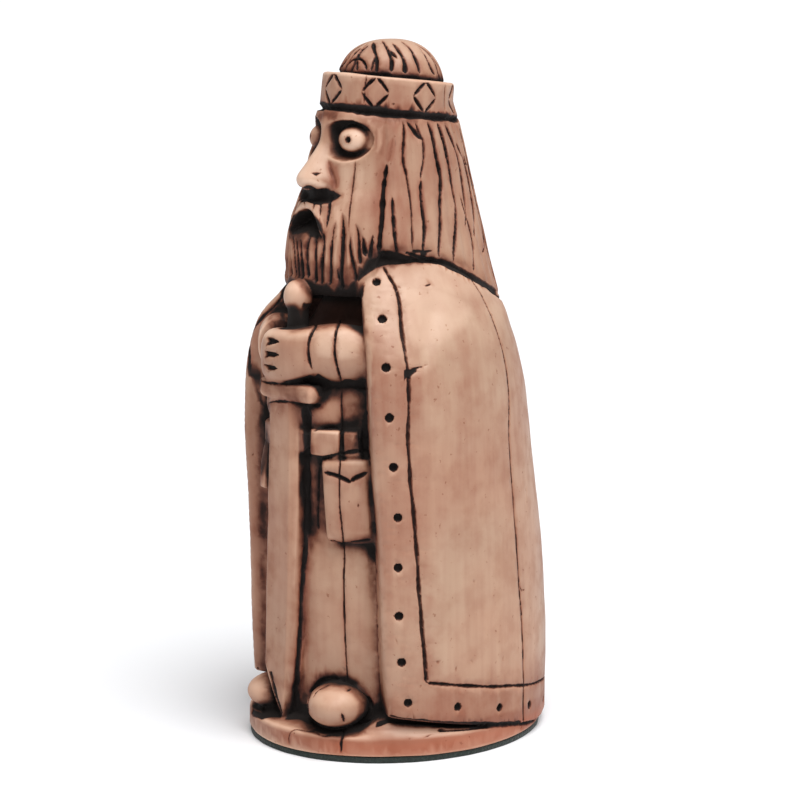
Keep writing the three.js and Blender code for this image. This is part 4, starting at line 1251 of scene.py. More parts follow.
# Seams: width or first and last width, depth, line
SEAMS_SEEN = (
    ((1.25, 0.8), 0.5, (306, 405, 307, 425, 307.5, 450, 307.5, 480, 307, 520, 305.5, 545)),
    ((0.7, 0.75), 0.5, (305.5, 545, 303, 580, 301, 620, 299, 660, 296.5, 690, 295, 712)),
    ((0.3, 0.6), 0.3, (268, 402.5, 285, 402, 300, 403.5, 321, 404.5)),
    ((0.2, 0.4), 0.3, (312, 431.5, 325, 428, 333, 427, 341, 428.5)),
    (0.45, 0.4, (341.5, 428, 342, 440, 343, 451)),
    (0.4, 0.4, (359, 428, 359.5, 438, 361, 449)),
    ((0.3, 0.24), 0.3, (322, 458, 319.5, 475, 318.5, 495, 318, 515, 318.5, 530)),
    (0.7, 0.4, (330, 541, 345, 543, 360, 542, 372, 540)),
    ((0.4, 0.6), 0.4, (308, 712, 308, 702, 311, 693, 315, 687, 320, 682, 326, 679, 333, 678, 340, 678.5)),
    ((0.6, 0.7), 0.4, (340, 678.5, 346, 681, 354, 685, 360, 690, 366, 695, 370, 701, 372, 710)),
    ((0.5, 0.45), 0.3, (
        308, 715, 315, 723, 322, 727, 330, 729, 340, 729, 350, 725.5, 360, 723.5, 372, 720,
    )),
    ((0.35, 0.8), 0.2, (286, 284, 282, 296, 275, 306, 264, 315, 256, 325, 251, 338, 249, 352, 249, 368)),
)
# Marks on the shoe: width, line
SHOE_MARKS_SEEN = (
    (0.3, (313, 698, 316, 692.5, 321, 688.5, 327, 685.8, 331, 683.5)),
    (0.36, (346, 691.5, 349, 690, 352, 688)),
)


def cut_seams(carving, surface):
    """Where one form meets the next, the line that was cut along it and took the most wash."""
    for width, depth, pixels in SEAMS_SEEN:
        carving.line(surface.seen(pixels), width, depth, ends=(0.6, 0.6), rough=0.4, wander=0.08, stain=0.8)
    for width, pixels in SHOE_MARKS_SEEN:
        carving.line(surface.seen(pixels), width, 0.25, ends=(0.5, 0.5), rough=0.5, wander=0.08)


def lay_haze(carving):
    """A thin darker tone over the side away from the camera and towards the foot, painted shade on the tunic
    set back in the cloak's opening, and dark painted shade with some wash in the chest's hollow.
    """
    points = carving.points
    height = points[:, 2] - GROUND
    turns = turns_round(points, *CLOAK_OVAL, CLOAK_CENTRE)
    skin = cloak_point(turns, np.clip(height, 0.3, 61.5))
    outer = np.hypot(skin[:, 0], skin[:, 1] + CLOAK_CENTRE)
    sunk = outer - np.hypot(points[:, 0], points[:, 1] + CLOAK_CENTRE)
    chest = (height > 47) & (height < 56) & (np.abs(turns) < 50) & (sunk > 4.0)
    # Darker over the front of the side away from the camera.
    far = smooth(-2, -8, points[:, 0]) * smooth(-2, -9, points[:, 1]) * smooth(58, 50, height)
    haze = far * (0.16 + 0.1 * waves(points, 4.0, 61)) * (sunk < 3)
    streaks = waves(points * [1, 1, 0.1], 0.9, 62)
    # Painted shade on the tunic where it is set back in the cloak's opening.
    front = smooth(54, 48, np.abs(turns)) * smooth(46, 44, height) * (sunk > 0.5)
    # Darker towards the bottom.
    low_haze = smooth(9, 3, height) * 0.1 + 0.05
    haze = np.maximum(haze, front * (0.2 + 0.05 * streaks))
    haze = np.maximum(haze, low_haze + 0.03 * streaks)
    # Painted shade with some wash in the chest's hollow, where the other painted shade of hollows is held
    # back.
    hollow_tone = 0.68 + 0.12 * waves(points * [1, 1, 0.4], 1.5, 64)
    carving.wash = np.maximum(carving.wash, chest * smooth(4.0, 5.0, sunk) * hollow_tone)
    carving.calm = np.maximum(carving.calm, chest * smooth(3.5, 4.5, sunk) * 0.85)
    carving.haze = np.maximum(carving.haze, haze)


def lay_patches(carving, surface):
    """The dark patches, mostly painted shade, the pale ones, painted highlights with some wear, and those
    with less painted shade, with the pommel cleared and its stem darkened as painted shade.
    """
    points = carving.points
    height = points[:, 2] - GROUND
    for tone, depth, soft, pixels in DARKS_SEEN.values():
        carving.patch(surface, pixels, tone, depth, soft)
    for tone, depth, soft, pixels in BOTH_SIDES_SEEN.values():
        for side in (-1, 1):
            carving.patch(surface, pixels, tone, depth, soft, side)
    y = SWORD["front"] + GRIP_BACK
    middle = np.array([SWORD["x"], y, POMMEL_CENTRE + GROUND + 0.25])
    carving.clear(middle, np.array(POMMEL) * [1.06, 1.06, 0.98])
    # Painted shade on the stem under the pommel, darker further down.
    below = middle[2] - points[:, 2] + 0.4 * waves(points, 1.2, 63)
    on_stem = (((points - middle)[:, :2] / 2.4) ** 2).sum(1) < 1
    on_stem &= (height > 50.5) & (height < POMMEL_CENTRE)
    carving.wash = np.maximum(carving.wash, on_stem * smooth(0.6, 2.0, below))
    for layer, table in (("rub", WORN_AND_HIGHLIT_SEEN), ("calm", CALM_SEEN)):
        for amount, soft, pixels in table:
            found, share = carving.under(surface, pixels, soft)
            carving.lift(layer, found, amount * share)


# Marks on the band: width, tone, line
BAND_MARKS_SEEN = (
    (0.16, 0.8, (367, 75, 365.5, 83, 365, 90)),
    (0.16, 0.8, (365, 90, 364, 98, 363.5, 104)),
    (0.22, 0.6, (446, 81, 445, 90, 444.5, 100, 445, 112)),
    (0.3, 1, (391.5, 104, 395.5, 103.5)),
)


def cut_crown(carving, surface):
    """Lozenges of four strokes each round the band, grooves in the cap, and the rings above and below."""
    for i in range(LOZENGES):
        middle = i / LOZENGES * 360
        corners = ((LOZENGE_HALF_WIDTH, 0), (0, LOZENGE_HALF_HEIGHT), (-LOZENGE_HALF_WIDTH, 0))
        corners += ((0, -LOZENGE_HALF_HEIGHT),)
        for k in range(4):
            (s0, z0), (s1, z1) = corners[k], corners[(k + 1) % 4]
            t = np.linspace(0.04, 0.98, 7)
            across, height = mix(s0, s1, t), mix(z0, z1, t)
            bow = 0.04 * np.sin(t * math.pi)
            reach = mix(BAND["half_width"], BAND["half_depth"], abs(math.sin(math.radians(middle))))
            line = band_point(middle + np.degrees(across * (1 + bow) / reach), height * (1 + bow))
            widths = LOZENGE_WIDTHS[::-1] if k % 2 else LOZENGE_WIDTHS
            carving.line(line, widths, 0.45, ends=(0.5, 0.5), rough=0.25, wander=0.04, stain=0.5)
    ring = np.linspace(0, 360, 200)
    under = []
    for turn in ring:
        foot = Vector(band_point(turn, -BAND["tall"] / 2 - 0.28))
        inward = Vector((-math.sin(math.radians(turn)), math.cos(math.radians(turn)), 0))
        hit = surface.tree.ray_cast(foot - inward * 0.2, inward, 4.0)[0]
        under.append(hit if hit is not None else foot)
    carving.line(np.array(under) - [0, 0, 0.12], 1.05, 0.6, ends=(0, 0), rough=0.25, wander=0.08, stain=0.9)
    over = cap_point(ring, 0.0, 0.05)
    over[:, 2] = band_point(ring, BAND["tall"] / 2 + 0.1)[:, 2]
    carving.line(over, 0.6, 0.35, ends=(0, 0), rough=0.2, wander=0.05, stain=0.8)
    for first, last, pixels in CAP_SEEN:
        widths = (CAP_WIDER[0] * first, CAP_WIDER[1] * last)
        carving.line(surface.seen(pixels), widths, 0.45, ends=(0.5, 0.1), rough=0.3, wander=0.04, stain=0.8)
    for width, tone, pixels in BAND_MARKS_SEEN:
        carving.line(surface.seen(pixels), width, 0.2, ends=(0.3, 0.3), rough=0.4, wander=0.03, tone=tone)
    for turn in (*np.arange(-52, 10, 11.5), *np.arange(122, 300, 11.5)):
        degrees = turn + carving.random.uniform(-3, 3)
        rises = np.linspace(carving.random.uniform(0.8, 0.95), 0.12, 7)
        line = cap_point(degrees + carving.random.normal(0, 1.2, 7), rises)
        carving.line(line, carving.random.uniform(0.3, 0.5), 0.4, ends=(1.0, 0.3), rough=0.35)


def along_cloak(rows, step=0.6):
    """A line on the cloak through rows of height and angle from the front."""
    rows = np.asarray(rows, float)
    count = max(int(abs(rows[-1, 0] - rows[0, 0]) / step), 12)
    path = through(rows, count)
    return cloak_skin(path[:, 1], path[:, 0])


def mirrored(degrees):
    return 360 + RIGHT_EDGE_SHIFT - np.asarray(degrees, float)


# Cracks of the cloak: height and angle from the front
SIDE_CRACK = (
    (58.2, 106), (56.5, 109.5), (54, 113.5), (50, 117), (46, 117.6), (42, 116), (36, 113), (28, 111.5),
    (20, 110.5), (12, 111.5), (5, 112.3), (0.4, 112.5),
)
BACK_CRACKS = (
    ((47, 204), (40, 203), (30, 205), (20, 204.5), (12, 206)),
    ((56, 283), (50, 279), (42, 277), (30, 278.5), (16, 277), (0.4, 278)),
    ((30, 163), (24, 162), (15, 163.5), (0.4, 163)),
)
CHIP_SEEN = (
    289, 745, 288.5, 738, 290, 733, 293, 730.5, 297, 729.5, 305, 731, 313, 731.5, 318, 734, 323, 736,
    328, 735.5, 335, 735, 341, 735.5,
)
# Edges of the cuffs: first and last width, line
CUFFS_SEEN = (
    ((0.5, 0.45), (317, 324, 313, 331, 309.5, 339, 308, 348, 308.5, 357, 310, 364, 312, 370)),
    ((0.4, 0.4), (342, 319, 338, 327, 335.5, 338, 334.3, 350, 335, 360, 337.5, 371, 341, 382)),
)
# Chips and scratches: width, tone, line
SMALL_MARKS_SEEN = (
    (0.12, 0.5, (423, 366, 428.5, 364.3)),
    (0.3, 1, (419.5, 366.8, 422.5, 366.4)),
    (0.42, 1, (425, 286.3, 431.5, 284)),
    (0.14, 0.4, (427, 291.5, 429, 294)),
    (0.24, 0.7, (455.5, 285, 457, 286.5)),
    (0.2, 1, (393, 615.5, 397, 616)),
    (0.3, 1, (522, 590, 525, 589.5)),
    (0.3, 1, (520, 586, 522, 592)),
    (0.2, 0.7, (456.5, 665.5, 456, 668, 455.5, 672)),
    (0.5, 0.3, (436, 664, 440, 660)),
    (0.3, 0.3, (503.5, 655, 502.5, 661)),
    (0.26, 0.6, (498.5, 676, 499, 677.5)),
    (0.26, 0.6, (532, 676.5, 531.5, 678.5)),
    (0.1, 0.5, (470, 659, 474, 663)),
    (0.3, 0.25, (395, 637, 398, 645)),
    (0.16, 0.35, (474, 579, 474.5, 583)),
    (0.22, 0.9, (424, 737.5, 428, 736, 432, 734)),
    (0.14, 0.6, (407, 739, 412, 738.5)),
    (0.26, 0.7, (358.7, 503, 358.5, 508)),
    (0.24, 0.6, (254, 452.5, 251.5, 456.5)),
    (0.4, 1, (352, 351.6, 352.8, 352.8)),
    (0.24, 0.8, (294, 732, 294, 734.5)),
    (0.14, 0.5, (525.5, 488, 526, 492)),
    (0.12, 0.4, (374, 314, 374, 318)),
    (0.18, 0.8, (522, 726, 520, 731, 519, 737)),
    (0.2, 0.6, (266, 370, 268, 372, 270, 371.5)),
)
SHOE_GAP_SEEN = (341, 713, 343, 718, 344, 723)
BASE_CRACK_SEEN = (343, 727, 343, 735, 341.5, 742, 341, 753)
CUFF_AWAY = 6.0
STUD = {"radius": 0.56, "hem_radius": 0.54, "deep": 0.55}


def cut_clothes(carving, surface):
    """The cloak's border line, studs and cracks, the pouch's flap, the cuffs and small marks."""
    left = BORDER_LINE
    right = np.column_stack([left[:, 0], mirrored(left[:, 1])])
    for rows in (left, right):
        border = along_cloak(rows)
        carving.line(border, (0.62, 0.55), 0.45, ends=(0.1, 0.5), rough=0.3, wander=0.07, tone=0.8)
    hem = np.linspace(left[0, 1], mirrored(left[0, 1]), 90)
    carving.line(cloak_skin(hem, left[0, 0] + 0 * hem), 0.5, 0.4, ends=(0.1, 0.1), rough=0.22, tone=0.9)
    for height, degrees in STUDS:
        for turn in (degrees, mirrored(degrees)):
            carving.pit(cloak_skin(turn, height), STUD["radius"], STUD["deep"])
    for turn in np.linspace(HEM_STUDS_FROM, mirrored(HEM_STUDS_FROM), HEM_STUDS):
        carving.pit(cloak_skin(turn, HEM_STUD_HEIGHT), STUD["hem_radius"], STUD["deep"])
    crack = along_cloak(SIDE_CRACK)
    carving.line(crack, (0.26, 0.36), 0.32, ends=(3, 0.1), rough=0.25, wander=0.04, stain=0.4)
    for rows in BACK_CRACKS:
        carving.line(along_cloak(rows), 0.2, 0.26, ends=(3, 1.5), rough=0.35, wander=0.05, stain=0.3)
    rim = np.linspace(48, 360 - 40, 150)
    low = cloak_skin(rim, HEM_HEIGHT + 0 * rim)
    low[:, 2] -= 0.1
    carving.line(low, 0.75, 0.45, ends=(0.5, 0.5), rough=0.3, wander=0.1)

    for pixels in FLAP_SEEN:
        carving.line(surface.seen(pixels), 0.62, 0.4, ends=(0.4, 0.2), rough=0.35)
    crack = surface.seen(FRONT_CRACK_SEEN, step=2.0)
    carving.line(crack, 0.26, 0.35, ends=(0.5, 0.5), rough=0.3, wander=0.03)
    for width, tone, pixels in SMALL_MARKS_SEEN:
        mark = surface.seen(pixels)
        carving.line(mark, width, 0.15, ends=(0.2, 0.2), rough=0.5, wander=0.03, tone=tone, stain=0.3)
    carving.line(surface.seen(SHOE_GAP_SEEN), 0.4, 0.4, ends=(0.5, 0.5))
    carving.line(surface.seen(BASE_CRACK_SEEN), (0.32, 0.42), 0.3, ends=(0.3, 0.1))
    carving.line(surface.seen(CHIP_SEEN), 0.2, 0.2, ends=(0.5, 0.5), tone=0.9)

    for width, pixels in CUFFS_SEEN:
        for line in both_sides(surface.seen(pixels), CUFF_AWAY):
            carving.line(line, width, 0.42, ends=(1.0, 1.2), rough=0.2)


# The figure: its forms are joined, remeshed as one solid, carved and thinned


def select(pieces):
    bpy.ops.object.select_all(action="DESELECT")
    for piece in pieces:
        piece.select_set(True)
    bpy.context.view_layer.objects.active = pieces[0]


def joined(forms, name):
    select(forms)
    bpy.ops.object.join()
    forms[0].name = name
    forms[0].data.name = name
    return forms[0]


def apply(piece, kind, **values):
    """A modifier with these values, applied."""
    select([piece])
    modifier = piece.modifiers.new(kind.title(), kind)
    for key, value in values.items():
        setattr(modifier, key, value)
    bpy.ops.object.modifier_apply(modifier=modifier.name)


def relaxed(mesh, values, rounds):
    """Values of the mesh's vertices, each blended with its neighbours' mean, so many times over."""
    flat = values.reshape(len(values), -1)
    carried = np.zeros((len(flat), 3))
    carried[:, : flat.shape[1]] = flat
    carrier = bpy.data.objects.new("carrier", mesh.copy())
    move_to(carrier.data, carried)
    bpy.context.scene.collection.objects.link(carrier)
    modifier = carrier.modifiers.new("Blend", "SMOOTH")
    modifier.factor = 1.0
    modifier.iterations = rounds
    blended = carrier.evaluated_get(bpy.context.evaluated_depsgraph_get()).data
    result = coordinates(blended)[:, : flat.shape[1]].reshape(values.shape)
    bpy.data.meshes.remove(carrier.data)
    return result


def paint(mesh, name, values):
    layer = mesh.attributes.get(name) or mesh.attributes.new(name, "FLOAT", "POINT")
    layer.data.foreach_set("value", np.ascontiguousarray(np.clip(values, 0, 1), np.float32))


def shelter(piece, reach=7.0, rays=20):
    """How closed in each vertex is: the share of short rays that meet the piece."""
    mesh = piece.data
    tree = BVHTree.FromObject(piece, bpy.context.evaluated_depsgraph_get())
    points, normals = coordinates(mesh), normals_of(mesh)
    k = np.arange(rays) + 0.5
    up = np.sqrt(1 - k / rays * 0.93)
    turn = k * math.pi * (3 - math.sqrt(5))
    level = np.sqrt(1 - up**2)
    fan = np.stack([level * np.cos(turn), level * np.sin(turn), up], -1)
    helper = np.where(np.abs(normals[:, 2:]) > 0.8, [[1.0, 0, 0]], [[0, 0, 1.0]])
    side = np.cross(helper, normals)
    side /= np.maximum(np.linalg.norm(side, axis=1), 1e-9)[:, None]
    other = np.cross(normals, side)
    starts = points + normals * 0.06
    closed = np.zeros(len(points))
    cast = tree.ray_cast
    spin = np.random.default_rng(3).uniform(0, 2 * math.pi, len(points))
    cos, sin = np.cos(spin)[:, None], np.sin(spin)[:, None]
    side, other = side * cos + other * sin, other * cos - side * sin
    for direction in fan:
        rays_out = side * direction[0] + other * direction[1] + normals * direction[2]
        hits = [cast(p, d, reach)[3] for p, d in zip(starts.tolist(), rays_out.tolist())]
        closed += np.array([0.0 if h is None else 1 - 0.6 * h / reach for h in hits])
    return relaxed(mesh, closed / rays, 3)


NOOK_NEAR = 1.3
NOOK_FAR = 3.6
PROUD_BENDS = (1.0, 5.0)
THINNED_SHARE = 0.86
LONG_EDGE = 1.1


def carve_figure(settings):
    builders = (base_plate, clothes, head, crown, arms, sword, belt_and_pouch, shoes)
    forms = [form for build in builders for form in build()]
    figure = joined(forms, "carved_figure")
    cell = settings.fineness / MM * 1
    apply(figure, "REMESH", mode="VOXEL", voxel_size=cell, adaptivity=0.0)
    mesh = figure.data
    points = relaxed(mesh, coordinates(mesh), 2)
    move_to(mesh, points)
    points += normals_of(mesh) * (0.05 * waves(points, 7.0, 11) + 0.02 * waves(points, 2.2, 12))[:, None]
    move_to(mesh, points)

    normals = relaxed(mesh, normals_of(mesh), 3)
    normals /= np.maximum(np.linalg.norm(normals, axis=1), 1e-9)[:, None]

    def bends(rounds):
        """How far the form bends in, in cells: above 0 in hollows and below 0 on ridges."""
        return ((relaxed(mesh, points, rounds) - points) * normals).sum(1) / cell

    # How far the form bends: in the material the hollows and nooks darken as painted shade with some wash,
    # and proud parts pale as wear.
    nooks = smooth(0.5, 2.2, bends(60))
    near = relaxed(mesh, nooks, 40)
    nooks = np.clip(NOOK_NEAR * near + NOOK_FAR * relaxed(mesh, near, 320), 0, 1)
    proud = smooth(*PROUD_BENDS, -bends(240))

    carving = Carving(points, normals, cell)
    surface = Surface(figure)
    cut_strands(carving, surface)
    cut_face(carving, surface)
    darken_head(carving, surface)
    cut_crown(carving, surface)
    cut_clothes(carving, surface)
    cut_seams(carving, surface)
    lay_haze(carving)
    lay_patches(carving, surface)
    points = points + carving.slide - normals * carving.deep[:, None]
    move_to(mesh, points)

    normals = normals_of(mesh)
    fine, wide = bends(6), bends(60)
    ridges = smooth(0.12, 0.7, -fine) * 0.25 + smooth(0.4, 2.5, -wide) * 0.4
    beside = np.clip(3 * relaxed(mesh, carving.wash, 8), 0, 1)
    shielded = smooth(85.4, 86.6, points[:, 2]) * 0.6
    proud = np.maximum(proud, relaxed(mesh, ridges, 3)) * (1 - 0.8 * beside) * (1 - shielded)
    # Painted light and shade are laid in these layers with the real finish: cut holds the wash in cuts and
    # the dark patches of painted shade, stain also holds painted shade under the band and along the hair's
    # step, hollow, nook and haze darken as painted shade, upward and the pale patches lighten as painted
    # highlights, edge is wear and calm holds painted shade back.
    paint(mesh, "cut", carving.wash)
    paint(mesh, "stain", np.maximum(carving.stain, stain_and_painted_shade(points)))
    paint(mesh, "hollow", smooth(0.1, 0.9, fine) * 0.5 + smooth(0.4, 3.2, wide) * 0.8)
    paint(mesh, "nook", nooks)
    paint(mesh, "haze", relaxed(mesh, carving.haze, 4))
    paint(mesh, "calm", relaxed(mesh, carving.calm, 6))
    paint(mesh, "rub", relaxed(mesh, carving.rub, 6) * (1 - beside))
    paint(mesh, "edge", proud)
    # Painted highlight: faces turned upward are paled as if lit from above.
    paint(mesh, "upward", relaxed(mesh, smooth(0.1, 0.85, normals[:, 2]), 10) * (1 - shielded))
    triangles = 2 * len(mesh.polygons)
    share = settings.triangles * THINNED_SHARE / triangles
    apply(figure, "DECIMATE", ratio=min(1.0, share), use_collapse_triangulate=True)
    split_long_edges(figure, settings.triangles)
    # Painted shade: where the piece closes in round a vertex the resin is darkened in the material.
    paint(figure.data, "shelter", shelter(figure, 8.0, 16))
    mesh = figure.data
    mesh.transform(Matrix.Scale(MM, 4))
    mesh.shade_smooth()
    mesh.update()
    return figure


def split_long_edges(figure, most):
    """Halve the longest edges, as far as the count of triangles allows, so that soft tones stay soft."""
    working = bmesh.new()
    working.from_mesh(figure.data)
    spare = (most - len(working.faces)) // 2
    long_edges = [e for e in working.edges if e.calc_length() > LONG_EDGE]
    chosen = sorted(long_edges, key=lambda e: -e.calc_length())[: max(spare, 0)]
    bmesh.ops.subdivide_edges(working, edges=chosen, cuts=1)
    bmesh.ops.triangulate(working, faces=[f for f in working.faces if len(f.verts) > 3])
    working.to_mesh(figure.data)
    working.free()
    figure.data.update()


def stain_and_painted_shade(points):
    """The reddish stain on the base, the cloak's border, the crown and the hair, a redder tone over the side
    away from the camera, and painted shade under the band and along the hair's step.
    """
    x, y, height = points[:, 0], points[:, 1], points[:, 2] - GROUND
    away = np.abs(turns_round(points, *CLOAK_OVAL))
    away_head = np.abs(turns_round(points, *HEAD_OVAL))
    cloaked = (away > 47) & (height < 58) & (height > 0)
    hem = smooth(7.0, 4.5, height) * 0.45
    strip = smooth(70, 63, away) * 0.5
    border = np.where(cloaked, np.maximum(hem, strip), 0)
    # Redder over the front of the side away from the camera.
    far = smooth(0, -6, x) * smooth(-2, -9, y) * 0.35
    streaks = 0.5 + 0.5 * waves(points * [1, 1, 0.12], 1.3, 52)
    band = smooth(77, 78.2, height) * smooth(85, 83, height) * (0.05 + 0.4 * streaks)
    hair = smooth(54, 60, away_head) * (height > 53) * smooth(78.5, 77, height) * (0.18 + 0.4 * streaks)
    # Painted shade where the hair stands out from the cheek.
    step = np.exp(-(((away_head - 56) / 5.5) ** 2)) * (height > 58) * smooth(79, 77, height) * 0.5
    # Painted shadow of the band on the head just under it.
    under_band = smooth(73.6, 77, height) * smooth(79, 78, height) * 0.6
    cloudy = 0.85 + 0.35 * waves(points, 6.0, 51)
    return np.clip(np.maximum.reduce([border, band, far, hair, step, under_band]) * cloudy, 0, 1)


def felt_disc():
    around = 200
    wide, deep = PLATE_HALF_WIDTH - FELT_INSET, PLATE_HALF_DEPTH - FELT_INSET
    top = FELT_THICKNESS
    rings = []
    for inset, height in ((0.5, 0.0), (0.12, 0.0), (0.0, 0.1), (0.0, top - 0.06), (0.1, top), (0.5, top)):
        ring = oval(wide - inset, deep - inset, height, around)
        if 0.05 < height < top - 0.01:
            ring[:, :2] *= 1 + 0.002 * waves(ring, 0.9, 21)[:, None] - 0.002
        rings.append(ring)
    felt = loft("felt_disc", rings)
    felt.data.name = "felt_disc"
    felt.data.transform(Matrix.Scale(MM, 4))
    felt.data.shade_smooth()
    return felt


# Settings


class CarvingSettings(bpy.types.PropertyGroup):
    fineness: bpy.props.FloatProperty(
        name="Fineness",
        description="Size of the cells that the carving is cut in",
        default=0.00016,
        min=0.0001,
        unit="LENGTH",
    )
    triangles: bpy.props.IntProperty(
        name="Triangles",
        description="How many triangles the figure keeps",
        default=194000,
        min=20000,
    )


def colour(name, description, default):
    return bpy.props.FloatVectorProperty(
        name=name, description=description, default=default, subtype="COLOR"
    )


class FinishSettings(bpy.types.PropertyGroup):
    resin: colour("Resin", "Colour of the cast resin where it is rubbed clean", (0.525, 0.312, 0.208))
    resin_cool: colour(
        "Cooler resin", "Colour that the clean resin drifts to in broad clouds", (0.5, 0.332, 0.23)
    )
    raw: colour("Raw resin", "Colour of the bare resin on the rim of the base", (0.52, 0.14, 0.06))
    # The pale colour is a painted highlight on upward faces and pale patches, as if lit from above, and wear
    # on the edges.
    lit_and_worn: colour(
        "Lit_and_worn resin",
        "Colour of the resin on edges and upward faces, which are rubbed palest",
        (0.80, 0.55, 0.41),
    )
    # The stained colour also carries the painted shade under the band and along the hair's step.
    resin_dark: colour(
        "Stained resin", "Colour of the resin where more of the wash was left on it", (0.34, 0.145, 0.09)
    )
    # The darkest colour of the wash in cuts and of the painted shade in hollows and under parts.
    wash: colour("Wash", "Colour of the dark wash in the cuts", (0.011, 0.008, 0.007))
    felt: colour("Felt", "Colour of the felt", (0.012, 0.018, 0.015))


class StageSettings(bpy.types.PropertyGroup):
    floor: colour("Floor", "Colour of the floor", (0.9, 0.91, 0.93))
    sky: bpy.props.FloatProperty(
        name="Sky", description="Strength of the light from all round", default=0.31
    )
    key: bpy.props.FloatProperty(
        name="Key light", description="Strength of the broad light above the camera", default=3.4
    )


# Materials


def node(tree, kind, place=(0, 0), **values):
    made = tree.nodes.new(kind)
    made.location = place
    for key, value in values.items():
        setattr(made, key, value)
    return made


def wire(tree, source, target):
    tree.links.new(source, target)


def feed(tree, sockets, values):
    """Link each socket to its value where that is another socket, or else set it."""
    for socket, value in zip(sockets, values):
        if isinstance(value, bpy.types.NodeSocket):
            wire(tree, value, socket)
        else:
            socket.default_value = value


def math_node(tree, operation, first, second, clamp=False):
    made = node(tree, "ShaderNodeMath", operation=operation, use_clamp=clamp)
    feed(tree, made.inputs, (first, second))
    return made.outputs[0]


def mix_colour(tree, share, first, second, blend="MIX"):
    made = node(tree, "ShaderNodeMix", data_type="RGBA", blend_type=blend)
    feed(tree, (made.inputs[0], made.inputs[6], made.inputs[7]), (share, first, second))
    return made.outputs[2]


def bump_node(tree, height, strength, distance):
    made = node(tree, "ShaderNodeBump")
    made.inputs["Strength"].default_value = strength
    made.inputs["Distance"].default_value = distance
    wire(tree, height, made.inputs["Height"])
    return made.outputs["Normal"]


def mottle_group():
    """Cloudy variation at one scale, from 0 to 1."""
    group = bpy.data.node_groups.new("Cloudy mottling", "ShaderNodeTree")
    sockets = group.interface
    sockets.new_socket("Place", in_out="INPUT", socket_type="NodeSocketVector")
    for name, value in (("Scale", 200.0), ("Detail", 4.0), ("Low", 0.35), ("High", 0.65)):
        socket = sockets.new_socket(name, in_out="INPUT", socket_type="NodeSocketFloat")
        socket.default_value = value
    sockets.new_socket("Amount", in_out="OUTPUT", socket_type="NodeSocketFloat")
    inside = node(group, "NodeGroupInput", (-600, 0))
    outside = node(group, "NodeGroupOutput", (400, 0))
    noise = node(group, "ShaderNodeTexNoise", (-300, 0))
    spread = node(group, "ShaderNodeMapRange", (100, 0), interpolation_type="SMOOTHSTEP")
    wire(group, inside.outputs["Place"], noise.inputs["Vector"])
    wire(group, inside.outputs["Scale"], noise.inputs["Scale"])
    wire(group, inside.outputs["Detail"], noise.inputs["Detail"])
    wire(group, noise.outputs["Fac"], spread.inputs["Value"])
    wire(group, inside.outputs["Low"], spread.inputs["From Min"])
    wire(group, inside.outputs["High"], spread.inputs["From Max"])
    wire(group, spread.outputs["Result"], outside.inputs["Amount"])
    return group


def mottled(tree, place, scale, detail, low, high):
    group = bpy.data.node_groups.get("Cloudy mottling") or mottle_group()
    made = node(tree, "ShaderNodeGroup")
    made.node_tree = group
    wire(tree, place, made.inputs["Place"])
    for name, value in (("Scale", scale), ("Detail", detail), ("Low", low), ("High", high)):
        made.inputs[name].default_value = value
    return made.outputs["Amount"]


def attribute(tree, name):
    made = node(tree, "ShaderNodeAttribute", attribute_name=name)
    return made.outputs["Fac"]


def plain_material(name):
    material = bpy.data.materials.new(name)
    material.use_nodes = True
    tree = material.node_tree
    shader = tree.nodes["Principled BSDF"]
    place = node(tree, "ShaderNodeTexCoord", (-1600, 0)).outputs["Object"]
    return material, tree, shader, place


# Heights of the base and places across it where a finish begins and is full, in metres
STAINED_FOOT = (0.0050, 0.0036)
RAW_RIM = (0.0036, 0.0022)
RAW_SIDE = (0.006, 0.011)
# What the wash and the painted shade leave of the resin's colour, by how much of them is there
WASH_TINTS = ((0.22, (0.80, 0.68, 0.62)), (0.45, (0.38, 0.22, 0.17)), (0.66, (0.11, 0.055, 0.042)))
WASH_GAIN = (1.4, 1.7, 2.0)


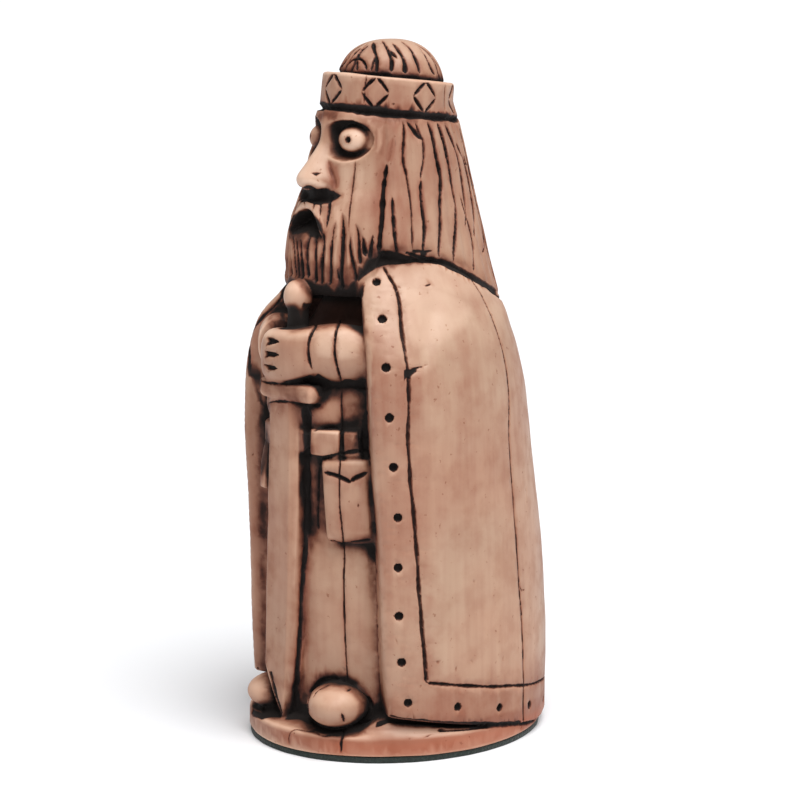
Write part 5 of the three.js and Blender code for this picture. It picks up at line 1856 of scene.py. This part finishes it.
def resin_material(finish):
    """Pinkish tan resin, mottled, with the wash in every cut, painted shade in hollows and under parts,
    painted highlights on upward faces and pale patches, and paler worn edges.
    """
    material, tree, shader, place = plain_material("washed_resin")
    broad = mottled(tree, place, 70, 3, 0.35, 0.68)
    small = mottled(tree, place, 380, 5, 0.38, 0.72)
    speck = mottled(tree, place, 1500, 3, 0.66, 0.74)
    stained_and_shaded = (*finish.resin_dark, 1)
    names = ("edge", "upward", "hollow", "shelter", "nook", "cut", "stain", "haze", "rub", "calm")
    layers = [attribute(tree, name) for name in names]
    edge, upward, hollow, closed, nook, cut, halo, haze, rub, calm = layers

    def times(first, second):
        return math_node(tree, "MULTIPLY", first, second)

    def plus(first, second, clamp=False):
        return math_node(tree, "ADD", first, second, clamp)

    def over(value, low, gain):
        return times(math_node(tree, "SUBTRACT", value, low, True), gain)

    def spread(value, low, high):
        made = node(tree, "ShaderNodeMapRange", interpolation_type="SMOOTHSTEP")
        wire(tree, value, made.inputs["Value"])
        made.inputs["From Min"].default_value = low
        made.inputs["From Max"].default_value = high
        return made.outputs["Result"]

    axes = node(tree, "ShaderNodeSeparateXYZ")
    wire(tree, place, axes.inputs[0])
    low = spread(axes.outputs["Z"], *STAINED_FOOT)
    rim = spread(axes.outputs["Z"], *RAW_RIM)
    toward = plus(spread(axes.outputs["X"], *RAW_SIDE), times(broad, 0.6), True)
    raw = times(rim, toward)
    long_grain = node(tree, "ShaderNodeMapping")
    long_grain.inputs["Scale"].default_value = (1, 1, 0.07)
    wire(tree, place, long_grain.inputs["Vector"])
    streak = mottled(tree, long_grain.outputs["Vector"], 900, 3, 0.3, 0.75)

    # Painted highlight: upward faces and the pale patches get the pale colour as if lit from above; on proud
    # edges it is wear.
    lit_and_worn = plus(times(edge, 1.3), times(upward, 0.72), True)
    lit_and_worn = math_node(tree, "MAXIMUM", lit_and_worn, rub)
    lit_and_worn = math_node(tree, "SUBTRACT", lit_and_worn, times(broad, 0.2), True)
    share = plus(times(broad, 0.3), plus(times(small, 0.24), times(halo, 0.85)), True)
    share = plus(share, plus(times(streak, 0.24), times(low, 0.75)), True)
    share = math_node(tree, "SUBTRACT", share, times(lit_and_worn, 0.5), True)
    tinge = mottled(tree, place, 45, 2, 0.35, 0.65)
    clean = mix_colour(tree, tinge, (*finish.resin, 1), (*finish.resin_cool, 1))
    colour = mix_colour(tree, share, clean, stained_and_shaded)
    colour = mix_colour(tree, lit_and_worn, colour, (*finish.lit_and_worn, 1))
    colour = mix_colour(tree, times(raw, 0.4), colour, (*finish.raw, 1))

    ragged = plus(times(small, 0.5), 0.75)
    # Painted shade with some wash: darker where the piece closes in or bends in, and under the haze, less on
    # the pale and calm patches.
    hollow_shade_and_wash = plus(over(closed, 0.12, 1.5), plus(times(nook, 1.6), times(hollow, 0.6)))
    kept = math_node(tree, "SUBTRACT", 1.0, math_node(tree, "MAXIMUM", times(rub, 0.9), calm), True)
    hollow_shade_and_wash = math_node(tree, "MULTIPLY", times(plus(hollow_shade_and_wash, haze), kept), ragged, True)
    # The cut layer adds the wash in cuts and the dark patches of painted shade.
    wash = math_node(tree, "MAXIMUM", hollow_shade_and_wash, cut)
    wash = math_node(tree, "MAXIMUM", wash, times(speck, 0.3))
    ramp = node(tree, "ShaderNodeValToRGB")
    stops = ramp.color_ramp.elements
    stops[0].position, stops[0].color = 0.0, (1, 1, 1, 1)
    stops[1].position = 0.92
    stops[1].color = (*(tone * gain for tone, gain in zip(finish.wash, WASH_GAIN)), 1)
    for position, tint in WASH_TINTS:
        stop = stops.new(position)
        stop.color = (*tint, 1)
    wire(tree, wash, ramp.inputs["Fac"])
    colour = mix_colour(tree, 1.0, colour, ramp.outputs["Color"], blend="MULTIPLY")
    wire(tree, colour, shader.inputs["Base Color"])

    rough = plus(plus(times(small, 0.12), 0.42), times(wash, 0.4), True)
    wire(tree, rough, shader.inputs["Roughness"])
    grain = mottled(tree, place, 2600, 4, 0.2, 0.8)
    height = plus(times(grain, 0.25), small)
    wire(tree, bump_node(tree, height, 0.35, 0.00006), shader.inputs["Normal"])
    shader.inputs["Specular IOR Level"].default_value = 0.36
    return material


def felt_material(finish):
    material, tree, shader, place = plain_material("dark_felt")
    fibres = mottled(tree, place, 2600, 6, 0.3, 0.75)
    clouds = mottled(tree, place, 300, 3, 0.3, 0.7)
    dark = (*finish.felt, 1)
    light = tuple(2.2 * c for c in finish.felt) + (1,)
    most, rest = math_node(tree, "MULTIPLY", fibres, 0.7), math_node(tree, "MULTIPLY", clouds, 0.3)
    share = math_node(tree, "ADD", most, rest)
    wire(tree, mix_colour(tree, share, dark, light), shader.inputs["Base Color"])
    shader.inputs["Roughness"].default_value = 0.95
    shader.inputs["Sheen Weight"].default_value = 0.15
    wire(tree, bump_node(tree, fibres, 0.8, 0.0001), shader.inputs["Normal"])
    return material


# Operators


class CHESS_OT_figure(bpy.types.Operator):
    """Join, remesh and carve the figure with its base"""

    bl_idname = "chess_piece.figure"
    bl_label = "Carved figure"

    def execute(self, context):
        scene = context.scene
        figure = carve_figure(scene.chess_carving)
        figure.data.materials.clear()
        figure.data.materials.append(resin_material(scene.chess_finish))
        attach(figure, "root")
        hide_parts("figure")
        return {"FINISHED"}


class CHESS_OT_felt(bpy.types.Operator):
    """Cut the felt disc under the base"""

    bl_idname = "chess_piece.felt"
    bl_label = "Felt disc"

    def execute(self, context):
        felt = felt_disc()
        felt.data.materials.append(felt_material(context.scene.chess_finish))
        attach(felt, "root")
        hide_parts("felt_pad")
        return {"FINISHED"}


KEY_SLANT = (0.42, 0.2)
KEY_SOFTNESS = 46


def broad_light(name, direction, softness, strength):
    """A far light as wide as softness in degrees, that shines along direction."""
    light = bpy.data.lights.new(name, "SUN")
    light.energy = strength
    light.angle = math.radians(softness)
    lamp = bpy.data.objects.new(name, light)
    bpy.context.scene.collection.objects.link(lamp)
    lamp.rotation_euler = Vector(direction).to_track_quat("-Z", "Y").to_euler()


class CHESS_OT_stage(bpy.types.Operator):
    """Set the floor, the soft light and the camera"""

    bl_idname = "chess_piece.stage"
    bl_label = "Stage"

    def execute(self, context):
        scene = context.scene
        settings = scene.chess_stage
        bpy.ops.object.select_all(action="DESELECT")
        bpy.ops.mesh.primitive_plane_add(size=40)
        floor = context.object
        floor.name = "floor"
        material = bpy.data.materials.new("pale_floor")
        material.use_nodes = True
        shader = material.node_tree.nodes["Principled BSDF"]
        shader.inputs["Base Color"].default_value = (*settings.floor, 1)
        shader.inputs["Roughness"].default_value = 0.8
        floor.data.materials.append(material)

        world = bpy.data.worlds.new("soft_sky")
        world.use_nodes = True
        sky = world.node_tree.nodes["Background"]
        sky.inputs["Color"].default_value = (1, 1, 1, 1)
        sky.inputs["Strength"].default_value = settings.sky
        scene.world = world
        place, right, ahead, _ = camera_axes()
        flat = np.array([ahead[0], ahead[1], 0]) / np.hypot(ahead[0], ahead[1])
        slant = flat * KEY_SLANT[0] - right * KEY_SLANT[1] - np.array([0, 0, 1.0])
        broad_light("key", slant, KEY_SOFTNESS, settings.key)
        camera = bpy.data.cameras.new("camera")
        camera.lens = FOCAL_PIXELS / FRAME_PIXELS * camera.sensor_width
        camera.shift_x = (FRAME_PIXELS / 2 - AXIS_PIXEL[0]) / FRAME_PIXELS
        camera.clip_start = 0.01
        camera.clip_end = 100
        seat = bpy.data.objects.new("camera", camera)
        scene.collection.objects.link(seat)
        seat.location = place * MM
        seat.rotation_euler = (math.pi / 2 - CAMERA_TIP, 0, CAMERA_TURN)
        scene.camera = seat
        scene.view_settings.view_transform = "Standard"
        return {"FINISHED"}


class CHESS_PT_panel(bpy.types.Panel):
    bl_label = "Chess Piece"
    bl_idname = "CHESS_PT_panel"
    bl_space_type = "VIEW_3D"
    bl_region_type = "UI"
    bl_category = "Chess Piece"

    def draw(self, context):
        layout = self.layout
        for group in (context.scene.chess_carving, context.scene.chess_finish, context.scene.chess_stage):
            box = layout.box()
            for name in group.__annotations__:
                box.prop(group, name)
        for operator in OPERATORS:
            layout.operator(operator.bl_idname)


OPERATORS = (CHESS_OT_figure, CHESS_OT_felt, CHESS_OT_stage)
SETTINGS = (
    ("chess_carving", CarvingSettings),
    ("chess_finish", FinishSettings),
    ("chess_stage", StageSettings),
)


def register():
    for name, group in SETTINGS:
        bpy.utils.register_class(group)
        setattr(bpy.types.Scene, name, bpy.props.PointerProperty(type=group))
    for made in (*OPERATORS, CHESS_PT_panel):
        bpy.utils.register_class(made)


def unregister():
    for made in reversed((*OPERATORS, CHESS_PT_panel)):
        bpy.utils.unregister_class(made)
    for name, group in reversed(SETTINGS):
        delattr(bpy.types.Scene, name)
        bpy.utils.unregister_class(group)


def main():
    register()
    bpy.ops.chess_piece.figure()
    bpy.ops.chess_piece.felt()
    bpy.ops.chess_piece.stage()
    bpy.context.view_layer.update()


if __name__ == "__main__":
    main()
